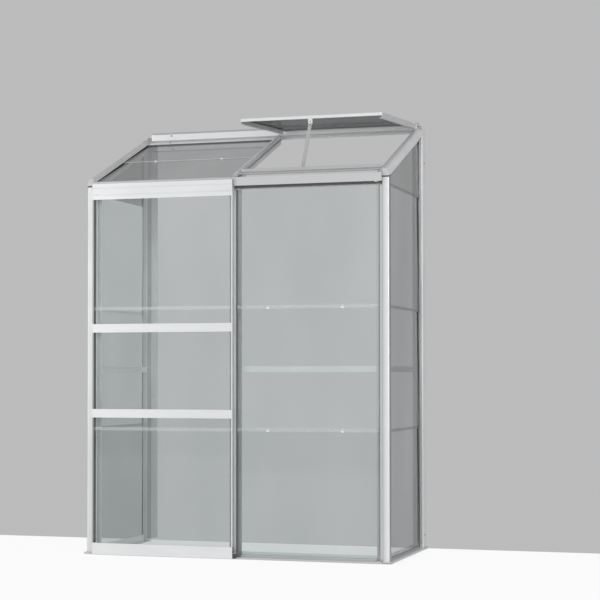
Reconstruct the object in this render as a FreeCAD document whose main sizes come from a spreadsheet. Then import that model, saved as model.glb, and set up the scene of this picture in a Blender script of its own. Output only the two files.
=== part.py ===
import FreeCAD, Part
import math
import os
import Sketcher
from FreeCAD import Placement, Rotation, Vector

# Lean-to greenhouse with a sliding door in its left bay and a roof vent over its right bay.
# Millimetres. X runs along the wall, Y points to the wall, Z is up.
# Sizes are written from the front face of the corner posts, which is Y = 0 in the text below,
# and every piece is then moved so that the origin is under the middle of the whole object.

document = FreeCAD.newDocument("LeanToGreenhouse")
sheet = document.addObject("Spreadsheet::Sheet", "Sizes")


class Size:
    """A length that knows its number and the sheet expression that gives it."""

    def __init__(self, value, text):
        self.value = float(value)
        self.text = text

    def __add__(self, other):
        other = as_size(other)
        return Size(self.value + other.value, f"({self.text} + {other.text})")

    def __sub__(self, other):
        other = as_size(other)
        return Size(self.value - other.value, f"({self.text} - {other.text})")

    def __mul__(self, other):
        other = as_size(other)
        return Size(self.value * other.value, f"({self.text} * {other.text})")

    def __truediv__(self, other):
        other = as_size(other)
        return Size(self.value / other.value, f"({self.text} / {other.text})")

    def __neg__(self):
        return Size(-self.value, f"(0 - {self.text})")

    def __radd__(self, other):
        return as_size(other) + self

    def __rsub__(self, other):
        return as_size(other) - self

    def __rmul__(self, other):
        return as_size(other) * self


def as_size(number):
    return number if isinstance(number, Size) else Size(number, f"({float(number):.6f})")


def sine(angle):
    return Size(math.sin(math.radians(angle.value)), f"sin({angle.text} * 1 deg)")


def cosine(angle):
    return Size(math.cos(math.radians(angle.value)), f"cos({angle.text} * 1 deg)")


def tangent(angle):
    return Size(math.tan(math.radians(angle.value)), f"tan({angle.text} * 1 deg)")


def arc_tangent(ratio):
    return Size(math.degrees(math.atan(ratio.value)), f"(atan({ratio.text}) / 1 deg)")


def root(square):
    return Size(math.sqrt(square.value), f"sqrt({square.text})")


drive_count = 0


def drive(alias, number, note):
    """Puts one driving dimension in the sheet and returns it as a Size."""
    global drive_count
    drive_count += 1
    sheet.set(f"A{drive_count}", note)
    sheet.set(f"B{drive_count}", str(number))
    sheet.setAlias(f"B{drive_count}", alias)
    return Size(number, f"Sizes.{alias}")


# Overall sizes

overall_width = drive("overall_width", 1320, "outside of one corner post to the other")
overall_depth = drive("overall_depth", 690, "front of the corner posts to the wall")
eaves_height = drive("eaves_height", 1580, "top of the gutter")
roof_pitch = drive("roof_pitch", 21, "slope of the roof in degrees")
roof_over_eaves = drive("roof_over_eaves", 16, "roof surface above the gutter, at the front")

# Clearances

joint_gap = drive("joint_gap", 0.3, "gap between two frame bars that butt")
glass_edge_gap = drive("glass_edge_gap", 2, "gap past the edge of a pane")
moving_gap = drive("moving_gap", 1, "gap between the door or the vent and the frame")

# Corner extrusion, used for the corner posts and the end rafters

nose_width = drive("nose_width", 28, "rounded outer part of the corner extrusion")
nose_radius = drive("nose_radius", 22, "radius of the rounded corner of the end rafters")
post_radius = drive("post_radius", 5, "radius of the rounded corner of the corner posts")
bar_wall = drive("bar_wall", 2, "wall of the extrusions")
lip_recess = drive("lip_recess", 10, "outer glazing lip behind the outer face")
channel_play = drive("channel_play", 0.6, "room left in the glazing channel by glass and seals")
outer_lip = drive("outer_lip", 14, "width of the outer glazing lip")
inner_lip = drive("inner_lip", 30, "width of the inner glazing lip")

# Glass and seals

glass_thick = drive("glass_thick", 3, "thickness of the panes")
seal_thick = drive("seal_thick", 1.6, "thickness of the rubber glazing strips")
seal_gap = drive("seal_gap", 0.2, "strip to glass at rest")
seal_seat = drive("seal_seat", 0.05, "strip to the metal it lies on")
seal_inset = drive("seal_inset", 1, "edge of a strip behind the edge of its lip")
lap_gap = drive("lap_gap", 1.2, "gap between two panes that lap")
lap_length = drive("lap_length", 12, "overlap of two panes")
lap_low = drive("lap_low", 527, "height of the lower lap")
lap_high = drive("lap_high", 1034, "height of the upper lap")
lap_top_drop = drive("lap_top_drop", 48, "lap under the gable panes, below the gutter's top")
roof_lap = drive("roof_lap", 335, "lap of the roof panes, up the slope")

# Posts

wall_post_depth = drive("wall_post_depth", 60, "depth of the wall posts")
wall_post_radius = drive("wall_post_radius", 6, "rounded front corner of the wall posts")
wall_flange = drive("wall_flange", 30, "width of the flange against the wall")
wall_flange_thick = drive("wall_flange_thick", 3, "thickness of that flange")
wall_hole = drive("wall_hole", 7, "diameter of the wall screw holes")
wall_hole_first = drive("wall_hole_first", 150, "height of the lowest wall screw hole")
wall_hole_pitch = drive("wall_hole_pitch", 500, "distance between wall screw holes")
centre_flange = drive("centre_flange", 26, "half width of the centre post's rear flange")
centre_lip = drive("centre_lip", 5.5, "half width of the centre post's outer lip")
centre_tube = drive("centre_tube", 16, "width of the centre post's tube")
centre_tube_depth = drive("centre_tube_depth", 26, "depth of the centre post's tube")
stem_width = drive("stem_width", 4, "stem between lip and flange")

# Base

sill_flange = drive("sill_flange", 56, "reach of the sill's floor flange")
sill_front_lip = drive("sill_front_lip", 16, "height of the sill's outer lip")
sill_rear_lip = drive("sill_rear_lip", 30, "height of the sill's inner lip")
sill_toe = drive("sill_toe", 8, "reach of the side sill's toe outside the posts")
sill_toe_height = drive("sill_toe_height", 8, "height of that toe")
rail_reach = drive("rail_reach", 15.5, "door rail's flange in front of the posts")
rail_distance = drive("rail_distance", 12, "middle of the door rail in front of the posts")
rail_height = drive("rail_height", 8, "top of the door rail")
rail_thick = drive("rail_thick", 1.6, "thickness of the door rail")
anchor_hole = drive("anchor_hole", 7, "diameter of the base anchor holes")
anchor_pitch = drive("anchor_pitch", 300, "distance between the anchor holes of a side sill")
foot_height = drive("foot_height", 8, "height of the feet under the posts")
foot_overhang = drive("foot_overhang", 8, "feet outside the posts")
cap_thick = drive("cap_thick", 5, "thickness of the caps between front posts and rafters")
cap_inset = drive("cap_inset", 1.5, "caps behind the faces of the posts")

# Eaves beam

gutter_reach = drive("gutter_reach", 14, "gutter in front of the posts")
gutter_height = drive("gutter_height", 36, "height of the gutter's front wall")
guide_depth = drive("guide_depth", 7, "depth of the door guide channel under the gutter")
beam_outer_lip = drive("beam_outer_lip", 4, "outer glazing lip under the gutter")
beam_inner_lip = drive("beam_inner_lip", 20, "inner glazing lip under the gutter")

# Bars behind the glass

mid_bar_height = drive("mid_bar_height", 24, "height of the middle bars")
mid_bar_depth = drive("mid_bar_depth", 12, "depth of the middle bars")
mid_bar_level = drive("mid_bar_level", 784, "middle of the middle bars above the ground")

# Ridge bar and vent hinge

ridge_over_roof = drive("ridge_over_roof", 16, "top of the ridge bar above the roof line at the wall")
ridge_foot = drive("ridge_foot", 36, "bottom of the ridge bar under that line")
ridge_face = drive("ridge_face", 41.5, "front face of the ridge bar from the wall")
ridge_apron = drive("ridge_apron", 35, "apron of the ridge bar in front of that face")
skirt_reach = drive("skirt_reach", 22, "rubber skirt in front of that apron")
hinge_setback = drive("hinge_setback", 35, "vent hinge axis from the wall")
hinge_rise = drive("hinge_rise", 22, "vent hinge axis square above the roof surface")
bead_radius = drive("bead_radius", 3.5, "radius of the vent's hinge bead")
bead_gap = drive("bead_gap", 0.4, "hinge bead to its groove")
neck_thick = drive("neck_thick", 1.6, "neck between hinge bead and hinge bar")
neck_above = drive("neck_above", 16, "hinge slot above the level, in degrees")
neck_below = drive("neck_below", 36, "hinge slot under the level, in degrees")

# Centre rafter and vent sill

rafter_rib = drive("rafter_rib", 4, "width of the centre rafter's rib")
rafter_lip = drive("rafter_lip", 12, "half width of the centre rafter's lip")
rafter_flange = drive("rafter_flange", 14, "half width of the centre rafter's flange")
rafter_tube = drive("rafter_tube", 18, "depth of the centre rafter's tube")
rafter_toe = drive("rafter_toe", 1, "front end of the centre rafter's rib behind the posts' faces")
curb_front = drive("curb_front", 66, "rear face of the vent sill, up the slope")
curb_over_roof = drive("curb_over_roof", 2, "top of the vent sill above the roof surface")
apron_front = drive("apron_front", 28, "front edge of the vent sill's apron, up the slope")
sill_web = drive("sill_web", 10, "web under the vent sill's apron")

# Vent

vent_open = drive("vent_open", 17.5, "opening of the vent at rest, in degrees")
vent_length = drive("vent_length", 645, "hinge axis to the vent's front edge")
vent_drop = drive("vent_drop", 7, "vent's top face under the hinge axis")
vent_depth = drive("vent_depth", 23, "depth of the vent's side bars")
vent_front_depth = drive("vent_front_depth", 12, "depth of the vent's front bar")
vent_left = drive("vent_left", 25, "left edge of the vent from the middle")
vent_side_gap = drive("vent_side_gap", 3, "vent to the right end rafter")
hinge_web = drive("hinge_web", 20, "hinge bar's web from the hinge axis")
vent_flange = drive("vent_flange", 16, "width of the vent bars' flanges")

# Vent stay

stay_width = drive("stay_width", 14, "width of the stay")
stay_leg = drive("stay_leg", 5, "depth of the stay's folded edges")
stay_thick = drive("stay_thick", 1.5, "thickness of the stay")
stay_hole = drive("stay_hole", 6, "diameter of the stay's holes")
stay_hole_pitch = drive("stay_hole_pitch", 30, "distance between the stay's holes")
stay_end = drive("stay_end", 8, "stay past its last hole")
stay_top = drive("stay_top", 323, "stay pivot from the middle of the greenhouse")
stay_foot = drive("stay_foot", 276, "stay peg from the middle of the greenhouse")
stay_inset = drive("stay_inset", 12, "stay pivot behind the vent's front edge")
stay_drop = drive("stay_drop", 30, "stay pivot under the hinge axis, square to the vent")
peg_reach = drive("peg_reach", 8, "stay peg behind the vent sill")
peg_drop = drive("peg_drop", 4, "stay peg under the roof surface")
peg_radius = drive("peg_radius", 2.2, "radius of the stay peg")

# Door

door_face = drive("door_face", 30, "front of the door ahead of the posts")
door_side_gap = drive("door_side_gap", 8, "door's left edge to the left post")
door_past_middle = drive("door_past_middle", 2, "door's right edge past the middle")
door_skin = drive("door_skin", 1.8, "front wall of the door's rails")
door_glass = drive("door_glass", 9, "door's front face to its glass")
door_rear = drive("door_rear", 4, "rear of the door stiles ahead of the posts")
stile_lip = drive("stile_lip", 6, "front lip of the door stiles")
stile_rear_lip = drive("stile_rear_lip", 9, "rear lip of the door stiles")
fascia_height = drive("fascia_height", 70, "height of the door's top rail")
fascia_drop = drive("fascia_drop", 7, "door's top rail under the gutter's top")
fascia_groove = drive("fascia_groove", 0.8, "depth of the grooves along the top rail")
plug_length = drive("plug_length", 12, "length of the plugs in the ends of the top rail")
plug_height = drive("plug_height", 24, "height of those plugs")
door_screw_up = drive("door_screw_up", 22, "door screws above the top rail's lower edge")
door_screw_in = drive("door_screw_in", 22, "door screws from the door's edges")
rail_upper = drive("rail_upper", 957.5, "middle of the door's upper rail")
rail_lower = drive("rail_lower", 598, "middle of the door's lower rail")
rail_tall = drive("rail_tall", 36.5, "height of the door's middle rails")
rail_deep = drive("rail_deep", 20, "depth of the door's rails")
rail_rear_tall = drive("rail_rear_tall", 24, "height of the rails' rear wall")
bottom_gap = drive("bottom_gap", 2.5, "door's bottom rail above the ground")
bottom_tall = drive("bottom_tall", 48.5, "height of the door's bottom rail")
bottom_web = drive("bottom_web", 32, "web of the bottom rail above the ground")
wheel_tread = drive("wheel_tread", 8.5, "door wheel's radius in its groove")
wheel_rim = drive("wheel_rim", 11, "door wheel's outer radius")
wheel_width = drive("wheel_width", 8, "door wheel's width")
wheel_groove = drive("wheel_groove", 2.6, "width of the groove")
axle_radius = drive("axle_radius", 2.5, "radius of the door wheel axles")
axle_gap = drive("axle_gap", 0.05, "running gap on the axles")
wheel_inset = drive("wheel_inset", 60, "door wheels from the door's edges")
wheel_past_edge = drive("wheel_past_edge", 1, "right wheel's axle past the door's right edge")
carrier_inward = drive("carrier_inward", 31, "wheel carrier from its axle towards the door's middle")
carrier_outward = drive("carrier_outward", 13, "wheel carrier from its axle towards the door's edge")
guide_length = drive("guide_length", 36, "length of the door's top guides")
guide_inset = drive("guide_inset", 7, "top guides from the door's edges")
door_travel = drive("door_travel", 605, "how far the door slides")

# Clips and fasteners

clip_width = drive("clip_width", 12, "width of the lap clips")
clip_thick = drive("clip_thick", 0.6, "thickness of the lap clips")
clip_hook = drive("clip_hook", 5, "hooked ends of the lap clips")
clip_inset = drive("clip_inset", 140, "front lap clips from the sides of their pane")
roof_clip_inset = drive("roof_clip_inset", 160, "roof lap clips from the sides of their pane")
post_bolt_low = drive("post_bolt_low", 214, "lower bolt of the centre post above the ground")
post_bolt_drop = drive("post_bolt_drop", 168, "upper bolt of the centre post below the gutter's top")
wall_bolt_low = drive("wall_bolt_low", 60, "lower bolt of the wall posts above the ground")
wall_bolt_rise = drive("wall_bolt_rise", 110, "upper bolt of the wall posts above the gutter's top")
ridge_bolt_inset = drive("ridge_bolt_inset", 114, "ridge bolts from the left post's nose")
rafter_bolt_low = drive("rafter_bolt_low", 52.365, "lower bolt of the end rafters from the wall")
rafter_bolt_high = drive("rafter_bolt_high", 20.622, "upper bolt of the end rafters from the wall")
bolt_radius = drive("bolt_radius", 4.5, "radius round the hexagon of the bolt heads")
bolt_head = drive("bolt_head", 3, "height of the bolt heads")
screw_radius = drive("screw_radius", 4, "radius of the door screws' heads")
screw_head = drive("screw_head", 1.5, "height of the door screws' heads")

document.recompute()

# Places worked out from the driving dimensions

half_width = overall_width / 2
wall_at = overall_depth
origin_depth = (overall_depth - door_face - screw_head) / 2
roof_start = eaves_height + roof_over_eaves
slope_cos = cosine(roof_pitch)
slope_sin = sine(roof_pitch)
slope_tan = tangent(roof_pitch)
nose_inside = half_width - nose_width
channel_front = lip_recess + bar_wall
lap_step = glass_thick + lap_gap
glass_channel = lap_step + glass_thick + seal_thick * 2 + channel_play
channel_rear = channel_front + glass_channel
lip_rear = channel_rear + bar_wall
glass_front = channel_front + seal_thick + seal_gap
lap_top = eaves_height - lap_top_drop
glass_tilt = arc_tangent(lap_step / (lap_high - lap_low))
gutter_bottom = eaves_height - gutter_height
gutter_floor = gutter_bottom + guide_depth
beam_foot = gutter_floor - beam_inner_lip
post_foot = foot_height + joint_gap
beam_half = nose_inside - joint_gap


def roof_height(depth, under=0):
    """Height of the roof surface at a depth, or of the line that lies square under it."""
    return roof_start + depth * slope_tan - as_size(under) / slope_cos


def up_slope(depth, under):
    """Distance up the slope of the point at a depth and square under the roof surface."""
    return (depth - under * slope_sin) / slope_cos


# Making pieces

pieces = []


def keep(piece, label):
    piece.Label = label
    pieces.append(piece)
    return piece


def bind_placement(piece, text):
    piece.setExpression("Placement", text)


def vector_text(x, y, z):
    return f"vector({as_size(x).text}; {as_size(y).text}; {as_size(z).text})"


def placement_text(x, y, z, axis=(1, 0, 0), angle=0):
    turn = f"rotation(vector({axis[0]}; {axis[1]}; {axis[2]}); {as_size(angle).text})"
    return f"placement({vector_text(x, y - origin_depth, z)}; {turn})"


def turn_text(axis, angle):
    turn = f"rotation(vector({axis[0]}; {axis[1]}; {axis[2]}); {as_size(angle).text})"
    return f"placement(vector(0; 0; 0); {turn})"


zero = as_size(0)
upright_frame = placement_text(zero, zero, zero)
roof_frame = placement_text(zero, zero, roof_start, (1, 0, 0), roof_pitch)
hinge_depth = wall_at - hinge_setback
hinge_height = roof_height(hinge_depth) + hinge_rise / slope_cos
vent_angle = roof_pitch - vent_open
vent_frame = placement_text(zero, hinge_depth, hinge_height, (1, 0, 0), vent_angle)


def new_body(label, frame=upright_frame):
    body = document.addObject("PartDesign::Body", label + "_body")
    bind_placement(body, frame)
    return keep(body, label)


def size_number(size):
    return size.value


def number_pair(point):
    return as_size(point[0]), as_size(point[1])


def sketch_on(body, plane, offset):
    """A sketch on one of the body's own planes, moved along its normal by the offset."""
    sketch = body.newObject("Sketcher::SketchObject", "Sketch")
    role = plane + "_Plane"
    origin_plane = [item for item in body.Origin.OriginFeatures if item.Role == role][0]
    sketch.AttachmentSupport = [(origin_plane, "")]
    sketch.MapMode = "FlatFace"
    offset = as_size(offset)
    sketch.AttachmentOffset = Placement(Vector(0, 0, offset.value), Rotation())
    sketch.setExpression("AttachmentOffset.Base.z", offset.text)
    return sketch


def add_outline(sketch, points):
    """A closed outline of straight lines whose corners are bound to the sheet."""
    points = [number_pair(point) for point in points]
    first = sketch.GeometryCount
    count = len(points)
    for index in range(count):
        start = points[index]
        end = points[(index + 1) % count]
        line = Part.LineSegment(Vector(start[0].value, start[1].value, 0),
                                Vector(end[0].value, end[1].value, 0))
        sketch.addGeometry(line, False)
    for index in range(count):
        following = first + (index + 1) % count
        sketch.addConstraint(Sketcher.Constraint("Coincident", first + index, 2, following, 1))
    for index, (across, along) in enumerate(points):
        for kind, size in (("DistanceX", across), ("DistanceY", along)):
            place = Sketcher.Constraint(kind, -1, 1, first + index, 1, size.value)
            number = sketch.addConstraint(place)
            sketch.setExpression(f"Constraints[{number}]", size.text)


def add_circle(sketch, centre, radius):
    across, along = number_pair(centre)
    radius = as_size(radius)
    circle = Part.Circle(Vector(across.value, along.value, 0), Vector(0, 0, 1), radius.value)
    number = sketch.addGeometry(circle, False)
    for kind, size in (("DistanceX", across), ("DistanceY", along)):
        place = Sketcher.Constraint(kind, -1, 1, number, 3, size.value)
        sketch.setExpression(f"Constraints[{sketch.addConstraint(place)}]", size.text)
    size = Sketcher.Constraint("Radius", number, radius.value)
    sketch.setExpression(f"Constraints[{sketch.addConstraint(size)}]", radius.text)


def pad(body, plane, low, high, outlines=(), circles=()):
    """Adds the outlines as one prism between two levels along the plane's axis."""
    low = as_size(low)
    high = as_size(high)
    sketch = sketch_on(body, plane, -high if plane == "XZ" else low)
    for points in outlines:
        add_outline(sketch, points)
    for centre, radius in circles:
        add_circle(sketch, centre, radius)
    feature = body.newObject("PartDesign::Pad", "Pad")
    feature.Profile = sketch
    feature.Length = (high - low).value
    feature.setExpression("Length", (high - low).text)
    body.Tip = feature
    return feature


def pocket(body, plane, low, high, outlines=(), circles=()):
    """Cuts the outlines as one prism between two levels along the plane's axis."""
    low = as_size(low)
    high = as_size(high)
    sketch = sketch_on(body, plane, -low if plane == "XZ" else high)
    for points in outlines:
        add_outline(sketch, points)
    for centre, radius in circles:
        add_circle(sketch, centre, radius)
    feature = body.newObject("PartDesign::Pocket", "Pocket")
    feature.Profile = sketch
    feature.Length = (high - low).value
    feature.setExpression("Length", (high - low).text)
    body.Tip = feature
    return feature


def box_outline(across_low, across_high, along_low, along_high):
    return [(across_low, along_low), (across_high, along_low),
            (across_high, along_high), (across_low, along_high)]


def round_edges(body, spots, radius):
    """Rounds the edges of the body that pass through the given points."""
    document.recompute()
    tip = body.Tip
    names = []
    for spot in spots:
        place = Part.Vertex(Vector(*[as_size(number).value for number in spot]))
        for index, edge in enumerate(tip.Shape.Edges):
            if edge.distToShape(place)[0] < 0.001:
                names.append(f"Edge{index + 1}")
    feature = body.newObject("PartDesign::Fillet", "Fillet")
    feature.Base = (tip, names)
    feature.Radius = as_size(radius).value
    feature.setExpression("Radius", as_size(radius).text)
    body.Tip = feature


def make_box(name, across, depth, up, frame=None):
    """A rectangular piece given by its low and high ends along X, Y and Z."""
    block = document.addObject("Part::Box", name)
    lows = [as_size(pair[0]) for pair in (across, depth, up)]
    highs = [as_size(pair[1]) for pair in (across, depth, up)]
    for side, low, high in zip(("Length", "Width", "Height"), lows, highs):
        block.setExpression(side, (high - low).text)
    if frame is None:
        bind_placement(block, placement_text(*lows))
    else:
        shift = f"placement({vector_text(*lows)}; rotation(vector(1; 0; 0); 0))"
        bind_placement(block, f"{frame} * {shift}")
    return block


def make_group(label, solids):
    group = document.addObject("Part::Compound", label + "_group")
    group.Links = solids
    return keep(group, label)


def make_hexagon(name, spot, axis, angle, radius, height, frame=upright_frame):
    """A hexagon head that stands on a spot, turned from the upright by an angle."""
    head = document.addObject("Part::Prism", name)
    head.Polygon = 6
    head.setExpression("Circumradius", radius.text)
    head.setExpression("Height", height.text)
    place = f"placement({vector_text(*spot)}; rotation(vector(1; 0; 0); 0))"
    bind_placement(head, f"{frame} * {place} * {turn_text(axis, angle)}")
    return head


def make_cylinder(name, spot, axis, angle, radius, height, frame=upright_frame):
    rod = document.addObject("Part::Cylinder", name)
    rod.setExpression("Radius", as_size(radius).text)
    rod.setExpression("Height", as_size(height).text)
    place = f"placement({vector_text(*spot)}; rotation(vector(1; 0; 0); 0))"
    bind_placement(rod, f"{frame} * {place} * {turn_text(axis, angle)}")
    return rod


def side_range(side, near, far):
    """Low and high X of something that lies between two distances on one side."""
    return (near, far) if side > 0 else (-far, -near)


SIDES = (("left", -1), ("right", 1))


# Corner posts

def hollow_outline(inner, outer, side, near, far, radius):
    """The inside of a post, whose outer front corner follows the rounded corner outside it."""
    wall = bar_wall * side
    bend = radius - (radius - bar_wall) * 0.7071
    return [(inner + wall, near + bar_wall), (outer - radius * side, near + bar_wall),
            (outer - bend * side, near + bend), (outer - wall, near + radius),
            (outer - wall, far - bar_wall), (inner + wall, far - bar_wall)]


def make_corner_post(side_name, side):
    body = new_body(f"corner_post_{side_name}")
    outer = half_width * side
    inner = nose_inside * side
    top_under = nose_width + joint_gap + cap_thick + joint_gap
    post_top = roof_height(zero, top_under)
    rear_top = roof_height(nose_width, top_under)
    shell = box_outline(inner, outer, zero, nose_width)
    hollow = hollow_outline(inner, outer, side, zero, nose_width, post_radius)
    pad(body, "XY", post_foot, rear_top, [shell])
    front_low, front_high = side_range(side, nose_inside - outer_lip, nose_inside)
    pad(body, "XY", post_foot, beam_foot - joint_gap,
        [box_outline(front_low, front_high, lip_recess, channel_front)])
    rear_low, rear_high = side_range(side, nose_inside - inner_lip, nose_inside)
    pad(body, "XY", post_foot, beam_foot - joint_gap,
        [box_outline(rear_low, rear_high, channel_rear, lip_rear)])
    gable_top = roof_height(nose_width, nose_width + joint_gap)
    outer_low, outer_high = side_range(side, half_width - channel_front, half_width - lip_recess)
    pad(body, "XY", post_foot, gable_top,
        [box_outline(outer_low, outer_high, nose_width, nose_width + outer_lip)])
    inner_low, inner_high = side_range(side, half_width - lip_rear, half_width - channel_rear)
    pad(body, "XY", post_foot, gable_top,
        [box_outline(inner_low, inner_high, nose_width, nose_width + inner_lip)])
    round_edges(body, [(outer, zero, (post_foot + post_top) / 2)], post_radius)
    pocket(body, "XY", post_foot, rear_top, [hollow])
    low, high = side_range(side, nose_inside - 1, half_width + 1)
    over = [(-1, roof_height(as_size(-1), top_under)),
            (nose_width, rear_top), (nose_width, rear_top + 5), (-1, rear_top + 5)]
    pocket(body, "YZ", low, high, [over])


for side_name, side in SIDES:
    make_corner_post(side_name, side)


# Wall posts, each with a hollow bar, two glazing lips and a flange with screw holes

wall_post_front = wall_at - wall_post_depth


def make_wall_post(side_name, side):
    body = new_body(f"wall_post_{side_name}")
    outer = half_width * side
    inner = nose_inside * side
    front_top = roof_height(wall_post_front, nose_width + joint_gap)
    rear_top = roof_height(wall_at, nose_width + joint_gap)
    pad(body, "XY", post_foot, rear_top, [box_outline(inner, outer, wall_post_front, wall_at)])
    outer_low, outer_high = side_range(side, half_width - channel_front, half_width - lip_recess)
    lip_top = roof_height(wall_post_front - inner_lip, nose_width + joint_gap)
    pad(body, "XY", post_foot, lip_top,
        [box_outline(outer_low, outer_high, wall_post_front - outer_lip, wall_post_front)])
    inner_low, inner_high = side_range(side, half_width - lip_rear, half_width - channel_rear)
    pad(body, "XY", post_foot, lip_top,
        [box_outline(inner_low, inner_high, wall_post_front - inner_lip, wall_post_front)])
    flange_low, flange_high = side_range(side, nose_inside - wall_flange, nose_inside)
    flange_top = roof_height(wall_at, ridge_foot) - joint_gap
    pad(body, "XY", post_foot, flange_top,
        [box_outline(flange_low, flange_high, wall_at - wall_flange_thick, wall_at)])
    round_edges(body, [(outer, wall_post_front, (post_foot + front_top) / 2)], wall_post_radius)
    hollow = hollow_outline(inner, outer, side, wall_post_front, wall_at, wall_post_radius)
    pocket(body, "XY", post_foot, rear_top, [hollow])
    low, high = side_range(side, nose_inside - 1, half_width + 1)
    over = [(wall_post_front - 1, roof_height(wall_post_front - 1, nose_width + joint_gap)),
            (wall_at + 1, roof_height(wall_at + 1, nose_width + joint_gap)),
            (wall_at + 1, rear_top + 10), (wall_post_front - 1, rear_top + 10)]
    pocket(body, "YZ", low, high, [over])
    holes = []
    for index in range(4):
        level = wall_hole_first + wall_hole_pitch * index
        holes.append((((nose_inside - wall_flange / 2) * side, level), wall_hole / 2))
    pocket(body, "XZ", wall_at - wall_flange_thick - 1, wall_at + 1, circles=holes)


for side_name, side in SIDES:
    make_wall_post(side_name, side)


# Centre post

centre_rear = lip_rear + centre_tube_depth
body = new_body("centre_post")
centre_outline = [
    (-centre_lip, lip_recess), (centre_lip, lip_recess), (centre_lip, channel_front),
    (stem_width / 2, channel_front), (stem_width / 2, channel_rear),
    (centre_flange, channel_rear), (centre_flange, lip_rear),
    (centre_tube / 2, lip_rear), (centre_tube / 2, centre_rear),
    (-centre_tube / 2, centre_rear), (-centre_tube / 2, lip_rear),
    (-centre_flange, lip_rear), (-centre_flange, channel_rear),
    (-stem_width / 2, channel_rear), (-stem_width / 2, channel_front),
    (-centre_lip, channel_front)]
centre_hollow = box_outline(bar_wall - centre_tube / 2, centre_tube / 2 - bar_wall,
                            lip_rear, centre_rear - bar_wall)
pad(body, "XY", bar_wall + joint_gap, beam_foot - joint_gap, [centre_outline, centre_hollow])


# Sills

sill_inner = sill_flange


def sill_points(sign, start):
    """Outline of a sill from its outer lip inwards: distances from the outside, and heights."""
    rows = [(-sill_toe, zero), (sill_inner, zero), (sill_inner, bar_wall), (lip_rear, bar_wall),
            (lip_rear, sill_rear_lip), (channel_rear, sill_rear_lip), (channel_rear, bar_wall),
            (channel_front, bar_wall), (channel_front, sill_front_lip),
            (lip_recess, sill_front_lip), (lip_recess, sill_toe_height),
            (-sill_toe, sill_toe_height)]
    return [(start + sign * across, up) for across, up in rows]


def make_side_sill(side_name, side):
    body = new_body(f"side_sill_{side_name}")
    pad(body, "XZ", nose_width + joint_gap, wall_post_front - joint_gap,
        [sill_points(-side, half_width * side)])
    clear = inner_lip + joint_gap
    for low, high in ((nose_width, nose_width + clear), (wall_post_front - clear, wall_post_front)):
        left, right = side_range(side, half_width - lip_rear - 1, half_width - lip_recess)
        pocket(body, "XZ", low, high, [box_outline(left, right, bar_wall, sill_rear_lip + 1)])
    middle = (nose_width + wall_post_front) / 2
    hole_across = (half_width - (lip_rear + sill_inner) / 2) * side
    holes = [((hole_across, middle + sign * anchor_pitch / 2), anchor_hole / 2) for sign in (-1, 1)]
    pocket(body, "XY", -1, bar_wall + 1, circles=holes)


for side_name, side in SIDES:
    make_side_sill(side_name, side)

body = new_body("front_sill")
front_rows = [(-rail_reach, zero), (sill_inner, zero), (sill_inner, bar_wall), (lip_rear, bar_wall),
              (lip_rear, sill_rear_lip), (channel_rear, sill_rear_lip), (channel_rear, bar_wall),
              (channel_front, bar_wall), (channel_front, sill_front_lip),
              (lip_recess, sill_front_lip), (lip_recess, bar_wall),
              (rail_thick / 2 - rail_distance, bar_wall),
              (rail_thick / 2 - rail_distance, rail_height),
              (-rail_distance - rail_thick / 2, rail_height),
              (-rail_distance - rail_thick / 2, bar_wall), (-rail_reach, bar_wall)]
pad(body, "YZ", -beam_half, beam_half, [front_rows])
clear = inner_lip + joint_gap
for side_name, side in SIDES:
    low, high = side_range(side, nose_inside - clear, nose_inside)
    pocket(body, "YZ", low, high,
           [box_outline(lip_recess - 1, lip_rear + 1, bar_wall, sill_rear_lip + 1)])
    low, high = side_range(side, half_width - sill_inner - joint_gap, nose_inside)
    pocket(body, "YZ", low, high,
           [box_outline(nose_width + joint_gap - 1, sill_inner + 1, -1, bar_wall + 1)])
reach = centre_flange + joint_gap
pocket(body, "YZ", -reach, reach,
       [box_outline(lip_recess - 1, lip_rear + 1, bar_wall, sill_rear_lip + 1)])


# Plastic ends of the posts: a foot under each post, and a cap between each front post and its rafter

feet = []
for side_name, side in SIDES:
    for end_name, depth in (("front", (-foot_overhang, nose_width)),
                            ("rear", (wall_post_front, wall_at))):
        across = side_range(side, nose_inside + joint_gap, half_width + foot_overhang)
        feet.append(make_box(f"foot_{end_name}_{side_name}", across, depth, (zero, foot_height)))


caps = []
cap_under = nose_width + joint_gap
for side_name, side in SIDES:
    body = document.addObject("PartDesign::Body", f"cap_{side_name}")
    bind_placement(body, upright_frame)
    low, high = side_range(side, nose_inside + cap_inset, half_width - cap_inset)
    cap_rear = nose_width - cap_inset
    pad(body, "YZ", low, high,
        [[(cap_inset, roof_height(cap_inset, cap_under)), (cap_rear, roof_height(cap_rear, cap_under)),
          (cap_rear, roof_height(cap_rear, cap_under + cap_thick)),
          (cap_inset, roof_height(cap_inset, cap_under + cap_thick))]])
    caps.append(body)
make_group("post_end_caps", feet + caps)


# Eaves beam with the gutter, the door's guide channel and the glazing channel

body = new_body("eaves_beam")
rear_wall_top = roof_height(channel_rear, channel_rear + joint_gap)
beam_rows = [
    (-gutter_reach, gutter_bottom), (bar_wall - gutter_reach, gutter_bottom),
    (bar_wall - gutter_reach, gutter_floor), (lip_recess, gutter_floor),
    (lip_recess, gutter_floor - beam_outer_lip), (channel_front, gutter_floor - beam_outer_lip),
    (channel_front, gutter_floor), (channel_rear, gutter_floor), (channel_rear, beam_foot),
    (lip_rear, beam_foot), (lip_rear, rear_wall_top), (channel_rear, rear_wall_top),
    (channel_rear, gutter_floor + bar_wall), (bar_wall - gutter_reach, gutter_floor + bar_wall),
    (bar_wall - gutter_reach, eaves_height), (-gutter_reach, eaves_height)]
pad(body, "YZ", -beam_half, beam_half, [beam_rows])
round_edges(body, [(zero, -gutter_reach, eaves_height)], 1)


# End rafters, the corner extrusion laid along the slope with plumb ends

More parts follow.
